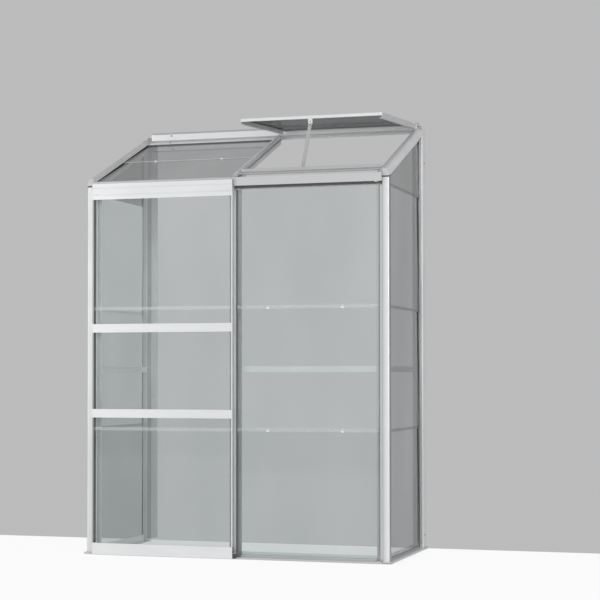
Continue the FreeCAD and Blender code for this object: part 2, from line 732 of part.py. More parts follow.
def roof_outline(depth_low, depth_high, under_low, under_high):
    """A slanted strip in the roof's own frame with plumb ends: up the slope, and square to it."""
    return [(up_slope(depth_low, under_high), -under_high),
            (up_slope(depth_high, under_high), -under_high),
            (up_slope(depth_high, under_low), -under_low),
            (up_slope(depth_low, under_low), -under_low)]


def make_end_rafter(side_name, side):
    body = new_body(f"end_rafter_{side_name}", roof_frame)
    low, high = side_range(side, nose_inside, half_width)
    rear = wall_at - joint_gap
    pad(body, "YZ", low, high, [roof_outline(zero, rear, zero, nose_width)])
    low, high = side_range(side, nose_inside - outer_lip, nose_inside)
    lip_end = wall_at - ridge_face - moving_gap
    pad(body, "YZ", low, high, [roof_outline(zero, lip_end, lip_recess, channel_front)])
    low, high = side_range(side, nose_inside - inner_lip, nose_inside)
    pad(body, "YZ", low, high,
        [roof_outline(lip_rear + joint_gap, lip_end, channel_rear, lip_rear)])
    gable_front = nose_width + inner_lip + joint_gap
    gable_rear = wall_post_front - inner_lip - joint_gap
    low, high = side_range(side, half_width - channel_front, half_width - lip_recess)
    pad(body, "YZ", low, high,
        [roof_outline(gable_front, gable_rear, nose_width, nose_width + outer_lip)])
    low, high = side_range(side, half_width - lip_rear, half_width - channel_rear)
    pad(body, "YZ", low, high,
        [roof_outline(gable_front, gable_rear, nose_width, nose_width + inner_lip)])
    middle = up_slope(wall_at / 2, zero)
    round_edges(body, [(half_width * side, middle, zero)], nose_radius)


for side_name, side in SIDES:
    make_end_rafter(side_name, side)


# Centre rafter: an upright rib, a lip, a flange and a tube

body = new_body("centre_rafter", roof_frame)
rafter_end = wall_at - ridge_face - moving_gap
rafter_front = lip_rear + joint_gap
rafter_parts = (
    (rafter_rib / 2, rafter_toe, zero, channel_front),
    (rafter_rib / 2, rafter_front, zero, channel_rear),
    (rafter_lip, rafter_toe, lip_recess, channel_front),
    (rafter_flange, rafter_front, channel_rear, lip_rear),
    (centre_tube / 2, rafter_front, lip_rear, lip_rear + rafter_tube))
for half, start, under_low, under_high in rafter_parts:
    pad(body, "YZ", -half, half, [roof_outline(start, rafter_end, under_low, under_high)])


# Ridge bar with the groove that holds the vent's hinge bead

roof_at_wall = roof_height(wall_at)
ridge_top = roof_at_wall + ridge_over_roof
ridge_lip = roof_height(wall_at - ridge_face, channel_front)
body = new_body("ridge_bar")


def from_wall(rows):
    return [(wall_at - across, up) for across, up in rows]


ridge_rows = [(zero, roof_at_wall - ridge_foot), (zero, ridge_top), (hinge_setback, ridge_top),
              (ridge_face, ridge_top - 6), (ridge_face, ridge_lip + 9), (ridge_face - 3, ridge_lip),
              (bar_wall + 1, ridge_lip), (bar_wall + 1, roof_at_wall - ridge_foot)]
chamber_rows = [(bar_wall + 1, ridge_lip + bar_wall), (bar_wall + 1, ridge_top - bar_wall),
                (hinge_setback - 10, ridge_top - bar_wall), (hinge_setback - 10, ridge_top - 13),
                (ridge_face - bar_wall, ridge_top - 16), (ridge_face - bar_wall, ridge_lip + 10),
                (ridge_face - 5, ridge_lip + bar_wall)]
ridge_left = nose_inside - outer_lip - 2
pad(body, "YZ", -ridge_left, beam_half, [from_wall(ridge_rows), from_wall(chamber_rows)])
slot_far = ridge_face - hinge_setback + 4
slot = [(hinge_depth, hinge_height),
        (hinge_depth - slot_far, hinge_height - slot_far * tangent(neck_below)),
        (hinge_depth - slot_far, hinge_height + slot_far * tangent(neck_above))]
pocket(body, "YZ", -beam_half - 1, beam_half + 1,
       circles=[((hinge_depth, hinge_height), bead_radius + bead_gap)])
pocket(body, "YZ", -beam_half - 1, beam_half + 1, [slot])
round_edges(body, [(zero, wall_at - ridge_face, ridge_lip + 9)], 8)
apron_edge = wall_at - ridge_face - ridge_apron
apron_root = wall_at - ridge_face + 5
apron_under = channel_front + bar_wall
apron_rows = [(apron_edge, roof_height(apron_edge, apron_under)),
              (apron_root, roof_height(apron_root, apron_under)),
              (apron_root, roof_height(apron_root, channel_front)),
              (apron_edge, roof_height(apron_edge, channel_front))]
apron_right = -(rafter_lip + joint_gap)
pad(body, "YZ", -ridge_left, apron_right, [apron_rows])


# Vent sill: an apron under the roof surface, an upright curb and a web

body = new_body("vent_sill", roof_frame)
sill_left = rafter_lip + joint_gap
sill_right = nose_inside - outer_lip - joint_gap
sill_rows = [(apron_front, -channel_front), (curb_front - 8, -channel_front),
             (curb_front - 8, -channel_front - sill_web), (curb_front - 6, -channel_front - sill_web),
             (curb_front - 6, -channel_front), (curb_front, -channel_front),
             (curb_front, curb_over_roof), (curb_front - bar_wall, curb_over_roof),
             (curb_front - bar_wall, -lip_recess), (apron_front, -lip_recess)]
pad(body, "YZ", sill_left, sill_right, [sill_rows])


# Bars behind the glass, each a channel with its open side inwards

def channel_rows(front, up_low, up_high, sign=1):
    rear = front + sign * mid_bar_depth
    web = front + sign * bar_wall
    return [(front, up_low), (rear, up_low), (rear, up_low + bar_wall), (web, up_low + bar_wall),
            (web, up_high - bar_wall), (rear, up_high - bar_wall), (rear, up_high), (front, up_high)]


mid_low = mid_bar_level - mid_bar_height / 2
mid_high = mid_bar_level + mid_bar_height / 2
body = new_body("front_mid_bar")
pad(body, "YZ", centre_tube / 2 + joint_gap, beam_half,
    [channel_rows(lip_rear + joint_gap, mid_low, mid_high)])
for side_name, side in SIDES:
    body = new_body(f"side_mid_bar_{side_name}")
    face = (half_width - lip_rear - joint_gap) * side
    pad(body, "XZ", lip_rear + mid_bar_depth + joint_gap * 2, wall_post_front - joint_gap,
        [channel_rows(face, mid_low, mid_high, -side)])


# Panes of the fixed glazing. Each pane leans, so that its foot lies outside the pane below.

def make_front_pane(label, low, high):
    block = document.addObject("Part::Box", label + "_glass")
    left = stem_width / 2 + 1
    right = nose_inside - glass_edge_gap
    block.setExpression("Length", (right - left).text)
    block.setExpression("Width", glass_thick.text)
    block.setExpression("Height", (high - low).text)
    bind_placement(block, placement_text(left, glass_front, low, (1, 0, 0), -glass_tilt))
    keep(block, label)


glass_foot = bar_wall + glass_edge_gap
make_front_pane("front_pane_lower", glass_foot, lap_low + lap_length)
make_front_pane("front_pane_middle", lap_low, lap_high + lap_length)
make_front_pane("front_pane_upper", lap_high, gutter_floor - glass_edge_gap)

pane_front = nose_width + glass_edge_gap
pane_rear = wall_post_front - glass_edge_gap
gable_pane_top = lap_top + lap_length


def side_pane_frame(side, low):
    across = (half_width - glass_front) * side
    return placement_text(across, zero, low, (0, 1, 0), -glass_tilt * side)


def make_side_pane(side_name, side, level, low, high):
    body = new_body(f"side_pane_{level}_{side_name}", side_pane_frame(side, low))
    inward = (-glass_thick, zero) if side > 0 else (zero, glass_thick)
    pad(body, "YZ", inward[0], inward[1], [box_outline(pane_front, pane_rear, zero, high - low)])


def make_gable_pane(side_name, side):
    body = new_body(f"gable_pane_{side_name}", side_pane_frame(side, lap_top))
    inward = (-glass_thick, zero) if side > 0 else (zero, glass_thick)
    under = nose_width + glass_edge_gap
    rows = [(pane_front, zero), (pane_rear, zero), (pane_rear, roof_height(pane_rear, under) - lap_top),
            (pane_front, roof_height(pane_front, under) - lap_top)]
    pad(body, "YZ", inward[0], inward[1], [rows])


for side_name, side in SIDES:
    make_side_pane(side_name, side, "lower", glass_foot, lap_low + lap_length)
    make_side_pane(side_name, side, "middle", lap_low, lap_high + lap_length)
    make_side_pane(side_name, side, "upper", lap_high, gable_pane_top)
    make_gable_pane(side_name, side)

roof_glass_end = up_slope(wall_at - ridge_face + 10, glass_front)
roof_glass_tilt = arc_tangent(lap_step / (roof_lap - 4))
upper_glass_tilt = arc_tangent(lap_step / (roof_glass_end - roof_lap))


def make_roof_pane(label, low, high, tilt):
    block = document.addObject("Part::Box", label + "_glass")
    left = -(nose_inside - glass_edge_gap)
    right = -(rafter_rib / 2 + 1)
    block.setExpression("Length", (right - left).text)
    block.setExpression("Width", (high - low).text)
    block.setExpression("Height", glass_thick.text)
    corner = f"placement({vector_text(left, low, -glass_front - glass_thick)}; "
    corner += f"rotation(vector(1; 0; 0); {(-tilt).text}))"
    bind_placement(block, f"{roof_frame} * {corner}")
    keep(block, label)


make_roof_pane("roof_pane_lower", as_size(4), roof_lap + lap_length, roof_glass_tilt)
make_roof_pane("roof_pane_upper", roof_lap, roof_glass_end, upper_glass_tilt)


# Rubber glazing strips, in front of and behind the glass

strips = []
strip_high = beam_foot - joint_gap
front_strip = (channel_front + seal_seat, channel_front + seal_thick)
rear_strip = (channel_rear - seal_thick, channel_rear - seal_seat)
strip_low = sill_rear_lip + joint_gap
front_left = (stem_width / 2, centre_lip - seal_inset / 2)
front_right = (nose_inside - outer_lip + seal_inset, nose_inside)
for name, across in (("left", front_left), ("right", front_right)):
    strips.append(make_box(f"strip_front_{name}", across, front_strip, (strip_low, strip_high)))
    strips.append(make_box(f"strip_front_{name}_rear", across, rear_strip, (strip_low, strip_high)))
strips.append(make_box("strip_front_top", (stem_width / 2, nose_inside - joint_gap * 2), front_strip,
                       (beam_foot + 5, gutter_floor - seal_seat)))
for side_name, side in SIDES:
    outer_strip = side_range(side, half_width - front_strip[1], half_width - front_strip[0])
    inner_strip = side_range(side, half_width - rear_strip[1], half_width - rear_strip[0])
    for end_name, start, sign in (("front", nose_width, 1), ("rear", wall_post_front, -1)):
        for kind, across in (("outer", outer_strip), ("inner", inner_strip)):
            reach = outer_lip - seal_inset
            ends = (start, start + reach) if sign > 0 else (start - reach, start)
            strips.append(make_box(f"strip_{side_name}_{end_name}_{kind}", across, ends,
                                   (strip_low, lap_top)))
roof_strip_end = up_slope(wall_at - ridge_face - moving_gap, lip_rear)
strip_front = up_slope(lip_rear + joint_gap, channel_rear)
skirt_front = up_slope(apron_edge - skirt_reach, channel_front)
over_end = skirt_front - joint_gap
for name, across in (("left", (-nose_inside, outer_lip - seal_inset - nose_inside)),
                     ("right", (seal_inset - rafter_lip, -rafter_rib / 2))):
    strips.append(make_box(f"roof_strip_{name}_under", across, (strip_front, roof_strip_end),
                           (-rear_strip[1], -rear_strip[0]), roof_frame))
    strips.append(make_box(f"roof_strip_{name}_over", across, (strip_front, over_end),
                           (-front_strip[1], -front_strip[0]), roof_frame))
strips.append(make_box("roof_strip_apron", (-ridge_left, apron_right),
                       (skirt_front, skirt_front + skirt_reach + 10),
                       (-apron_under - seal_thick * 1.5, -apron_under - seal_seat), roof_frame))
make_group("glazing_strips", strips)


# Lap clips: a strip bent round the foot of one pane and the head of the pane behind it

def clip_rows():
    """Outline of a clip, across the glass and along it, from the foot of the outer pane."""
    thick = clip_thick
    inner_face = glass_thick + lap_gap / 2 - thick / 2
    head = lap_length + 0.8
    rear = lap_step + glass_thick + 0.6
    return [(-0.4 - thick, clip_hook), (-0.4 - thick, -0.5 - thick), (inner_face + thick, -0.5 - thick),
            (inner_face + thick, head), (rear, head), (rear, head - clip_hook),
            (rear + thick, head - clip_hook), (rear + thick, head + thick),
            (inner_face, head + thick), (inner_face, -0.5), (-0.4, -0.5), (-0.4, clip_hook)]


def make_clip(name, frame):
    """One clip in a frame whose Y goes into the glass and whose Z goes up along it."""
    body = document.addObject("PartDesign::Body", name)
    bind_placement(body, frame)
    pad(body, "YZ", -clip_width / 2, clip_width / 2, [clip_rows()])
    return body


clips = []
clip_places = (stem_width / 2 + clip_inset, nose_inside - glass_edge_gap - clip_inset - 30)
for row, level in enumerate((lap_low, lap_high)):
    for column, across in enumerate(clip_places):
        place = placement_text(across, glass_front, level, (1, 0, 0), -glass_tilt)
        clips.append(make_clip(f"front_clip_{row}_{column}", place))
roof_pane_sides = (glass_edge_gap - nose_inside, -rafter_rib / 2 - 1)
for column, across in enumerate((roof_pane_sides[0] + roof_clip_inset,
                                 roof_pane_sides[1] - roof_clip_inset)):
    corner = f"placement({vector_text(across, roof_lap, -glass_front)}; "
    corner += f"rotation(vector(1; 0; 0); {(-roof_glass_tilt - 90).text}))"
    clips.append(make_clip(f"roof_clip_{column}", f"{roof_frame} * {corner}"))
make_group("lap_clips", clips)


# Door. Front faces lie at door_front, and the glass is set back from them.

door_front = -door_face
door_left = -(nose_inside - door_side_gap)
door_right = door_past_middle
door_glass_front = door_front + door_glass
stile_front = door_front + door_skin + joint_gap
stile_wall = bar_wall
fascia_top = eaves_height - fascia_drop
fascia_bottom = fascia_top - fascia_height
stile_top = gutter_bottom - 3
bottom_top = bottom_gap + bottom_tall
rail_rear = door_front + rail_deep
inner_left = door_left + stile_wall + joint_gap
inner_right = door_right - stile_wall - joint_gap


def make_stile(name, edge, sign):
    """A stile whose side wall stands at the door's edge and whose lips point to the middle."""
    body = new_body(f"door_stile_{name}")
    rows = [(edge, stile_front), (edge + sign * stile_lip, stile_front),
            (edge + sign * stile_lip, stile_front + 1.5), (edge + sign * stile_wall, stile_front + 1.5),
            (edge + sign * stile_wall, -door_rear - bar_wall),
            (edge + sign * stile_rear_lip, -door_rear - bar_wall),
            (edge + sign * stile_rear_lip, -door_rear), (edge, -door_rear)]
    pad(body, "XY", bottom_top + joint_gap, stile_top, [rows])


make_stile("left", door_left, 1)
make_stile("right", door_right, -1)


def rail_rows(low, high, web, rear_low, rear_high):
    """Outline of a door rail: a tall front wall, a web that the glass stands on, a rear wall."""
    skin = door_front + door_skin
    rear = rail_rear - door_skin
    rows = [(door_front, low), (skin, low), (skin, web), (rear, web), (rear, rear_low),
            (rail_rear, rear_low), (rail_rear, rear_high), (rear, rear_high), (rear, web + bar_wall),
            (skin, web + bar_wall), (skin, high), (door_front, high)]
    spots = [tuple(size.value for size in number_pair(row)) for row in rows]
    return [row for index, row in enumerate(rows) if math.dist(spots[index], spots[index - 1]) > 0.001]


def make_rail(label, low, high, web, rear_low, rear_high):
    """A rail whose front wall covers the stiles and whose rear part fits between their lips."""
    body = new_body(label)
    skin = box_outline(door_front, door_front + door_skin, low, high)
    clear = stile_rear_lip + joint_gap
    pad(body, "YZ", door_left, door_right, [skin])
    pad(body, "YZ", door_left + clear, door_right - clear,
        [rail_rows(low, high, web, rear_low, rear_high)])
    return body


fascia_web = fascia_bottom + 24
fascia = make_rail("door_top_rail", fascia_bottom, fascia_top, fascia_web, fascia_bottom + 6,
                   fascia_web + bar_wall)
for share in (0.27, 0.68):
    groove_at = fascia_bottom + fascia_height * share
    pocket(fascia, "YZ", door_left - 1, door_right + 1,
           [box_outline(door_front - 1, door_front + fascia_groove, groove_at - 0.8, groove_at + 0.8)])
for label, level in (("door_rail_upper", rail_upper), ("door_rail_lower", rail_lower)):
    rail = make_rail(label, level - rail_tall / 2, level + rail_tall / 2, level - bar_wall / 2,
                     level - rail_rear_tall / 2, level + rail_rear_tall / 2)
    round_edges(rail, [((door_left + door_right) / 2, door_front, level + rail_tall / 2)], 1.2)
bottom_rail = make_rail("door_bottom_rail", bottom_gap, bottom_top, bottom_web, bottom_web,
                        bottom_web + 14)
round_edges(bottom_rail, [((door_left + door_right) / 2, door_front, bottom_top)], 1.2)

pane_left = door_left + stile_wall + glass_edge_gap
pane_right = door_right - stile_wall - glass_edge_gap
door_glass_depth = (door_glass_front, door_glass_front + glass_thick)
pane_gap = as_size(0.8)
door_panes = (("door_pane_lower", bottom_web + bar_wall + pane_gap, rail_lower - bar_wall / 2 - pane_gap),
              ("door_pane_middle", rail_lower + bar_wall / 2 + pane_gap,
               rail_upper - bar_wall / 2 - pane_gap),
              ("door_pane_upper", rail_upper + bar_wall / 2 + pane_gap, fascia_web - pane_gap))
for label, low, high in door_panes:
    keep(make_box(label + "_glass", (pane_left, pane_right), door_glass_depth, (low, high)), label)

door_strips = []
strip_depths = ((stile_front + 1.5, door_glass_front - seal_gap),
                (door_glass_front + glass_thick + seal_gap, -door_rear - bar_wall))
strip_levels = ((bottom_top + joint_gap, rail_lower - rail_tall / 2 - joint_gap),
                (rail_lower + rail_tall / 2 + joint_gap, rail_upper - rail_tall / 2 - joint_gap),
                (rail_upper + rail_tall / 2 + joint_gap, fascia_bottom - joint_gap))
for name, edge, sign in (("left", door_left, 1), ("right", door_right, -1)):
    for index, (low, high) in enumerate(strip_levels):
        near = edge + sign * stile_wall
        for row, (depth, far) in enumerate(zip(strip_depths, (stile_lip + 0.5, stile_lip + 0.5))):
            end = edge + sign * far
            across = (near, end) if sign > 0 else (end, near)
            door_strips.append(make_box(f"door_strip_{name}_{index}_{row}", across, depth, (low, high)))
make_group("door_glazing_strips", door_strips)

screws = []
for name, across in (("left", door_left + door_screw_in), ("right", door_right - door_screw_in)):
    spot = (across, door_front, fascia_bottom + door_screw_up)
    screws.append(make_cylinder(f"door_screw_{name}", spot, (1, 0, 0), 90, screw_radius, screw_head))
make_group("door_screws", screws)


# Door wheels on their axles, in carriers under the bottom rail

axle_height = rail_height + wheel_tread + 0.25
wheel_depth = -rail_distance
wheel_low = wheel_depth - wheel_width / 2
wheel_high = wheel_depth + wheel_width / 2
carrier_top = bottom_web - joint_gap
wheel_places = (("left", -1, door_left + wheel_inset), ("right", 1, door_right + wheel_past_edge))
carriers = []
axles = []
carrier_front = door_front + door_skin + joint_gap
for name, sign, across in wheel_places:
    body = document.addObject("PartDesign::Body", f"carrier_{name}")
    bind_placement(body, upright_frame)
    slot_front = wheel_low - 0.6
    slot_rear = wheel_high + 0.6
    rows = [(carrier_front, rail_height - 3), (slot_front, rail_height - 3),
            (slot_front, carrier_top - 2), (slot_rear, carrier_top - 2), (slot_rear, rail_height - 3),
            (-door_rear, rail_height - 3), (-door_rear, carrier_top), (carrier_front, carrier_top)]
    ends = (across - sign * carrier_inward, across + sign * carrier_outward)
    pad(body, "YZ", min(ends, key=size_number), max(ends, key=size_number), [rows])
    if sign > 0:
        pocket(body, "YZ", door_right - joint_gap, across + carrier_outward + 1,
               [box_outline(carrier_front - 1, -door_rear + 1, axle_height + 5, carrier_top + 1)])
    pocket(body, "YZ", across - wheel_rim - 1, across + wheel_rim + 1,
           [box_outline(slot_front, slot_rear, rail_height, carrier_top + 1)])
    axle_start = carrier_front + 3
    pocket(body, "XZ", axle_start, -door_rear + 1,
           circles=[((across, axle_height), axle_radius + 0.01)])
    carriers.append(body)
    spot = (across, axle_start + 0.1, axle_height)
    length = -door_rear - axle_start - 0.2
    axles.append(make_cylinder(f"axle_{name}", spot, (1, 0, 0), -90, axle_radius, length))
    wheel = new_body(f"door_wheel_{name}")
    half_groove = wheel_groove / 2
    pad(wheel, "XZ", wheel_low, wheel_depth - half_groove,
        circles=[((across, axle_height), wheel_rim)])
    pad(wheel, "XZ", wheel_depth - half_groove, wheel_depth + half_groove,
        circles=[((across, axle_height), wheel_tread)])
    pad(wheel, "XZ", wheel_depth + half_groove, wheel_high,
        circles=[((across, axle_height), wheel_rim)])
    pocket(wheel, "XZ", wheel_low - 1, wheel_high + 1,
           circles=[((across, axle_height), axle_radius + axle_gap)])
make_group("door_wheel_carriers", carriers)
make_group("door_wheel_axles", axles)

# Top guides, which run in the channel under the gutter, and the plugs in the top rail's ends

guides = []
guide_front = bar_wall - gutter_reach + moving_gap
guide_rear = lip_recess - moving_gap
for name, across in (("left", door_left + guide_inset),
                     ("right", door_right - guide_inset - guide_length)):
    body = document.addObject("PartDesign::Body", f"guide_{name}")
    bind_placement(body, upright_frame)
    low = fascia_web + bar_wall
    rows = [(door_front + door_skin + joint_gap, low), (-door_rear - 4, low),
            (-door_rear - 4, gutter_bottom + 1), (guide_rear, gutter_bottom + 1),
            (guide_rear, gutter_floor - moving_gap), (guide_front, gutter_floor - moving_gap),
            (guide_front, low + 9), (door_front + door_skin + joint_gap, low + 9)]
    pad(body, "YZ", across, across + guide_length, [rows])
    guides.append(body)
for name, across in (("left", door_left), ("right", door_right - plug_length)):
    guides.append(make_box(f"plug_{name}", (across, across + plug_length),
                           (door_front + door_skin + joint_gap, -gutter_reach - moving_gap),
                           (fascia_top - 1 - plug_height, fascia_top - 1)))
make_group("door_top_guides", guides)

# The stop at the right end of the guide channel

stop_left = door_right - guide_inset + door_travel + moving_gap
keep(make_box("stop_block", (stop_left, stop_left + 14),
              (bar_wall - gutter_reach + joint_gap, lip_recess - joint_gap),
              (gutter_bottom - 2, gutter_floor)), "door_stop")


# Vent frame. In its own frame the hinge axis is the origin and the vent reaches towards -Y.

vent_right = nose_inside - vent_side_gap
vent_top = -vent_drop
vent_bottom = vent_top - vent_depth
ledge_top = vent_top - bar_wall - 6
body = new_body("vent_hinge_bar", vent_frame)
pad(body, "YZ", vent_left, vent_right, circles=[((zero, zero), bead_radius)])
hinge_rows = [(-1, -neck_thick / 2), (-1, neck_thick / 2), (-hinge_web - bar_wall, neck_thick / 2),
              (-hinge_web - bar_wall, vent_top), (-hinge_web - vent_flange, vent_top),
              (-hinge_web - vent_flange, vent_top - bar_wall),
              (-hinge_web - bar_wall, vent_top - bar_wall), (-hinge_web - bar_wall, ledge_top),
              (-hinge_web - vent_flange, ledge_top), (-hinge_web - vent_flange, ledge_top - bar_wall),
              (-hinge_web - bar_wall, ledge_top - bar_wall),
              (-hinge_web - bar_wall, vent_bottom + bar_wall),
              (-hinge_web - vent_flange, vent_bottom + bar_wall),
              (-hinge_web - vent_flange, vent_bottom), (-hinge_web, vent_bottom),
              (-hinge_web, -neck_thick / 2)]
pad(body, "YZ", vent_left, vent_right, [hinge_rows])

side_bar_rear = -hinge_web - vent_flange - joint_gap
side_bar_front = bar_wall + joint_gap - vent_length


def make_vent_side_bar(name, edge, sign):
    body = new_body(f"vent_side_bar_{name}", vent_frame)
    web = edge + sign * bar_wall
    rows = [(edge, vent_bottom), (edge + sign * vent_flange * 3 / 4, vent_bottom),
            (edge + sign * vent_flange * 3 / 4, vent_bottom + bar_wall), (web, vent_bottom + bar_wall),
            (web, ledge_top - bar_wall), (edge + sign * vent_flange, ledge_top - bar_wall),
            (edge + sign * vent_flange, ledge_top), (web, ledge_top), (web, vent_top - bar_wall),
            (edge + sign * vent_flange, vent_top - bar_wall), (edge + sign * vent_flange, vent_top),
            (edge, vent_top)]
    pad(body, "XZ", side_bar_front, side_bar_rear, [rows])


make_vent_side_bar("left", vent_left, 1)
make_vent_side_bar("right", vent_right, -1)

body = new_body("vent_front_bar", vent_frame)
between = vent_flange + joint_gap
pad(body, "YZ", vent_left, vent_right,
    [box_outline(-vent_length, bar_wall - vent_length, vent_top - vent_front_depth, vent_top)])
pad(body, "YZ", vent_left + between, vent_right - between,
    [box_outline(bar_wall - vent_length, vent_flange - vent_length, vent_top - bar_wall, vent_top),
     box_outline(bar_wall - vent_length, vent_flange - vent_length, ledge_top - bar_wall, ledge_top)])

vent_glass = (vent_left + bar_wall + glass_edge_gap, vent_right - bar_wall - glass_edge_gap)
keep(make_box("vent_glass", vent_glass,
              (bar_wall + glass_edge_gap - vent_length, -hinge_web - bar_wall - glass_edge_gap),
              (ledge_top + 0.4, ledge_top + 0.4 + glass_thick), vent_frame), "vent_pane")


# Vent stay. It hangs from the vent's front bar, and its last hole but one is at the peg.

stay_reach = vent_length - stay_inset
stay_depth = hinge_depth - stay_reach * cosine(vent_angle) + stay_drop * sine(vent_angle)
stay_height = hinge_height - stay_reach * sine(vent_angle) - stay_drop * cosine(vent_angle)
peg_slope = curb_front + peg_reach
peg_depth = peg_slope * slope_cos + peg_drop * slope_sin
peg_height = roof_start + peg_slope * slope_sin - peg_drop * slope_cos
stay_fall = stay_height - peg_height
stay_back = peg_depth - stay_depth
stay_plane = root(stay_fall * stay_fall + stay_back * stay_back)
stay_across = stay_top - stay_foot
stay_length = root(stay_plane * stay_plane + stay_across * stay_across)
stay_lean = arc_tangent(stay_back / stay_fall)
stay_tilt = arc_tangent(stay_across / stay_plane)
stay_frame = placement_text(stay_top, stay_depth, stay_height, (1, 0, 0), stay_lean)
arm_frame = f"{stay_frame} * {turn_text((0, 1, 0), stay_tilt)}"

body = new_body("stay_arm", arm_frame)
half_arm = stay_width / 2
arm_low = -stay_length - stay_hole_pitch / 2 - stay_end
pad(body, "XZ", zero, stay_thick, [box_outline(-half_arm, half_arm, arm_low, stay_end)])
for sign in (-1, 1):
    low, high = side_range(sign, half_arm - stay_thick, half_arm)
    pad(body, "XZ", stay_thick, stay_leg, [box_outline(low, high, arm_low, stay_end)])
arm_holes = [((zero, -stay_length + stay_hole_pitch * index), stay_hole / 2) for index in range(7)]
arm_holes.append(((zero, zero), 2.1))
pocket(body, "XZ", -1, stay_thick + 1, circles=arm_holes)

bracket_half = as_size(9)
ledge_low = ledge_top - bar_wall
bracket_plate = make_box("bracket_plate", (stay_top - bracket_half, stay_top + bracket_half),
                         (bar_wall - vent_length + 0.5, -stay_reach - 0.4),
                         (ledge_low - 2, ledge_low - seal_seat), vent_frame)
bracket_tab = make_box("bracket_tab", (-bracket_half, bracket_half), (-2.5, -0.5),
                       (-7, stay_drop + ledge_low - 1), stay_frame)
tab_hole = make_cylinder("tab_hole", (zero, -4, zero), (1, 0, 0), -90, 2.05, 6, stay_frame)
bracket_whole = document.addObject("Part::MultiFuse", "bracket_whole")
bracket_whole.Shapes = [bracket_plate, bracket_tab]
bracket = document.addObject("Part::Cut", "bracket_cut")
bracket.Base = bracket_whole
bracket.Tool = tab_hole
keep(bracket, "stay_bracket")

stay_pin = make_cylinder("stay_pin", (zero, -2.8, zero), (1, 0, 0), -90, 2, stay_thick + 4.3,
                         stay_frame)
stay_heads = [make_cylinder("stay_head", (zero, -4, zero), (1, 0, 0), -90, 3.5, 1.3, stay_frame),
              make_cylinder("stay_cap", (zero, stay_thick + 0.4, zero), (1, 0, 0), -90, 3.5, 1.5,
                            stay_frame)]
stay_bolt = document.addObject("Part::MultiFuse", "stay_bolt_fused")
stay_bolt.Shapes = [stay_pin] + stay_heads
keep(stay_bolt, "stay_bolt")

body = new_body("stay_peg", roof_frame)
peg_base = curb_front
pad(body, "XZ", peg_base, peg_base + 2,
    [box_outline(stay_foot - 12, stay_foot + 12, -channel_front, 1)])
pad(body, "XZ", peg_base + 2, peg_base + peg_reach - 1.2,
    circles=[((stay_foot, -peg_drop), peg_radius)])


# Bolt heads on the frame

bolts = []
for index, level in enumerate((post_bolt_low, eaves_height - post_bolt_drop)):
    bolts.append(make_hexagon(f"post_bolt_{index}", (centre_flange - 9, lip_rear, level),
                              (1, 0, 0), -90, bolt_radius, bolt_head))
ridge_bolt_at = ridge_bolt_inset - nose_inside
spot = (ridge_bolt_at, wall_at - ridge_face, (ridge_lip + 9 + ridge_top) / 2)
bolts.append(make_hexagon("ridge_bolt", spot, (1, 0, 0), 90, bolt_radius, bolt_head))
spot = (ridge_bolt_at, up_slope(wall_at - ridge_face - ridge_apron / 2, channel_front),
        seal_seat - channel_front)
bolts.append(make_hexagon("apron_bolt", spot, (1, 0, 0), 0, bolt_radius, bolt_head, roof_frame))
for side_name, side in SIDES:
    for index, (inward, from_wall_at) in enumerate(((10, rafter_bolt_low), (20, rafter_bolt_high))):
        past_bend = max(nose_radius.value - inward, 0) / nose_radius.value
        lean = as_size(math.degrees(math.asin(past_bend)))
        sag = nose_radius * (1 - cosine(lean)) - seal_seat
        spot = ((half_width - inward) * side, up_slope(wall_at - from_wall_at, zero), -sag)
        bolts.append(make_hexagon(f"rafter_bolt_{side_name}_{index}", spot, (0, 1, 0), lean * side,
                                  bolt_radius, bolt_head, roof_frame))
for side_name, side in SIDES:
    for index, level in enumerate((wall_bolt_low, eaves_height + wall_bolt_rise)):
        spot = (half_width * side, wall_post_front + wall_post_depth / 2, level)
        bolts.append(make_hexagon(f"wall_bolt_{side_name}_{index}", spot, (0, 1, 0), 90 * side,
                                  bolt_radius, bolt_head))
make_group("frame_bolts", bolts)


# Check every object and write one file for each piece

document.recompute()
failed = []
for item in document.Objects:
    if "Invalid" in item.State or "Error" in item.State:
        failed.append(f"{item.Name} {item.State}")
for piece in pieces:
    if piece.Shape.isNull() or not piece.Shape.isValid():
        failed.append(f"{piece.Label} has no valid shape")
if failed:
    raise RuntimeError("failed objects: " + "; ".join(failed))

os.makedirs("parts", exist_ok=True)
for piece in pieces:
    piece.Shape.exportStep(f"parts/{piece.Label}.step")
box = pieces[0].Shape.BoundBox
for piece in pieces[1:]:
    box.add(piece.Shape.BoundBox)
print(len(pieces), "pieces,", sum(len(piece.Shape.Solids) for piece in pieces), "solids")
print("box", [round(number, 2) for number in (box.XMin, box.YMin, box.ZMin, box.XMax, box.YMax, box.ZMax)])
print("hinge axis", hinge_depth.value - origin_depth.value, hinge_height.value)
print("stay pivot", stay_top.value, stay_depth.value - origin_depth.value, stay_height.value,
      "lean", stay_lean.value, "tilt", stay_tilt.value, "length", stay_length.value)
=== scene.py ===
import math

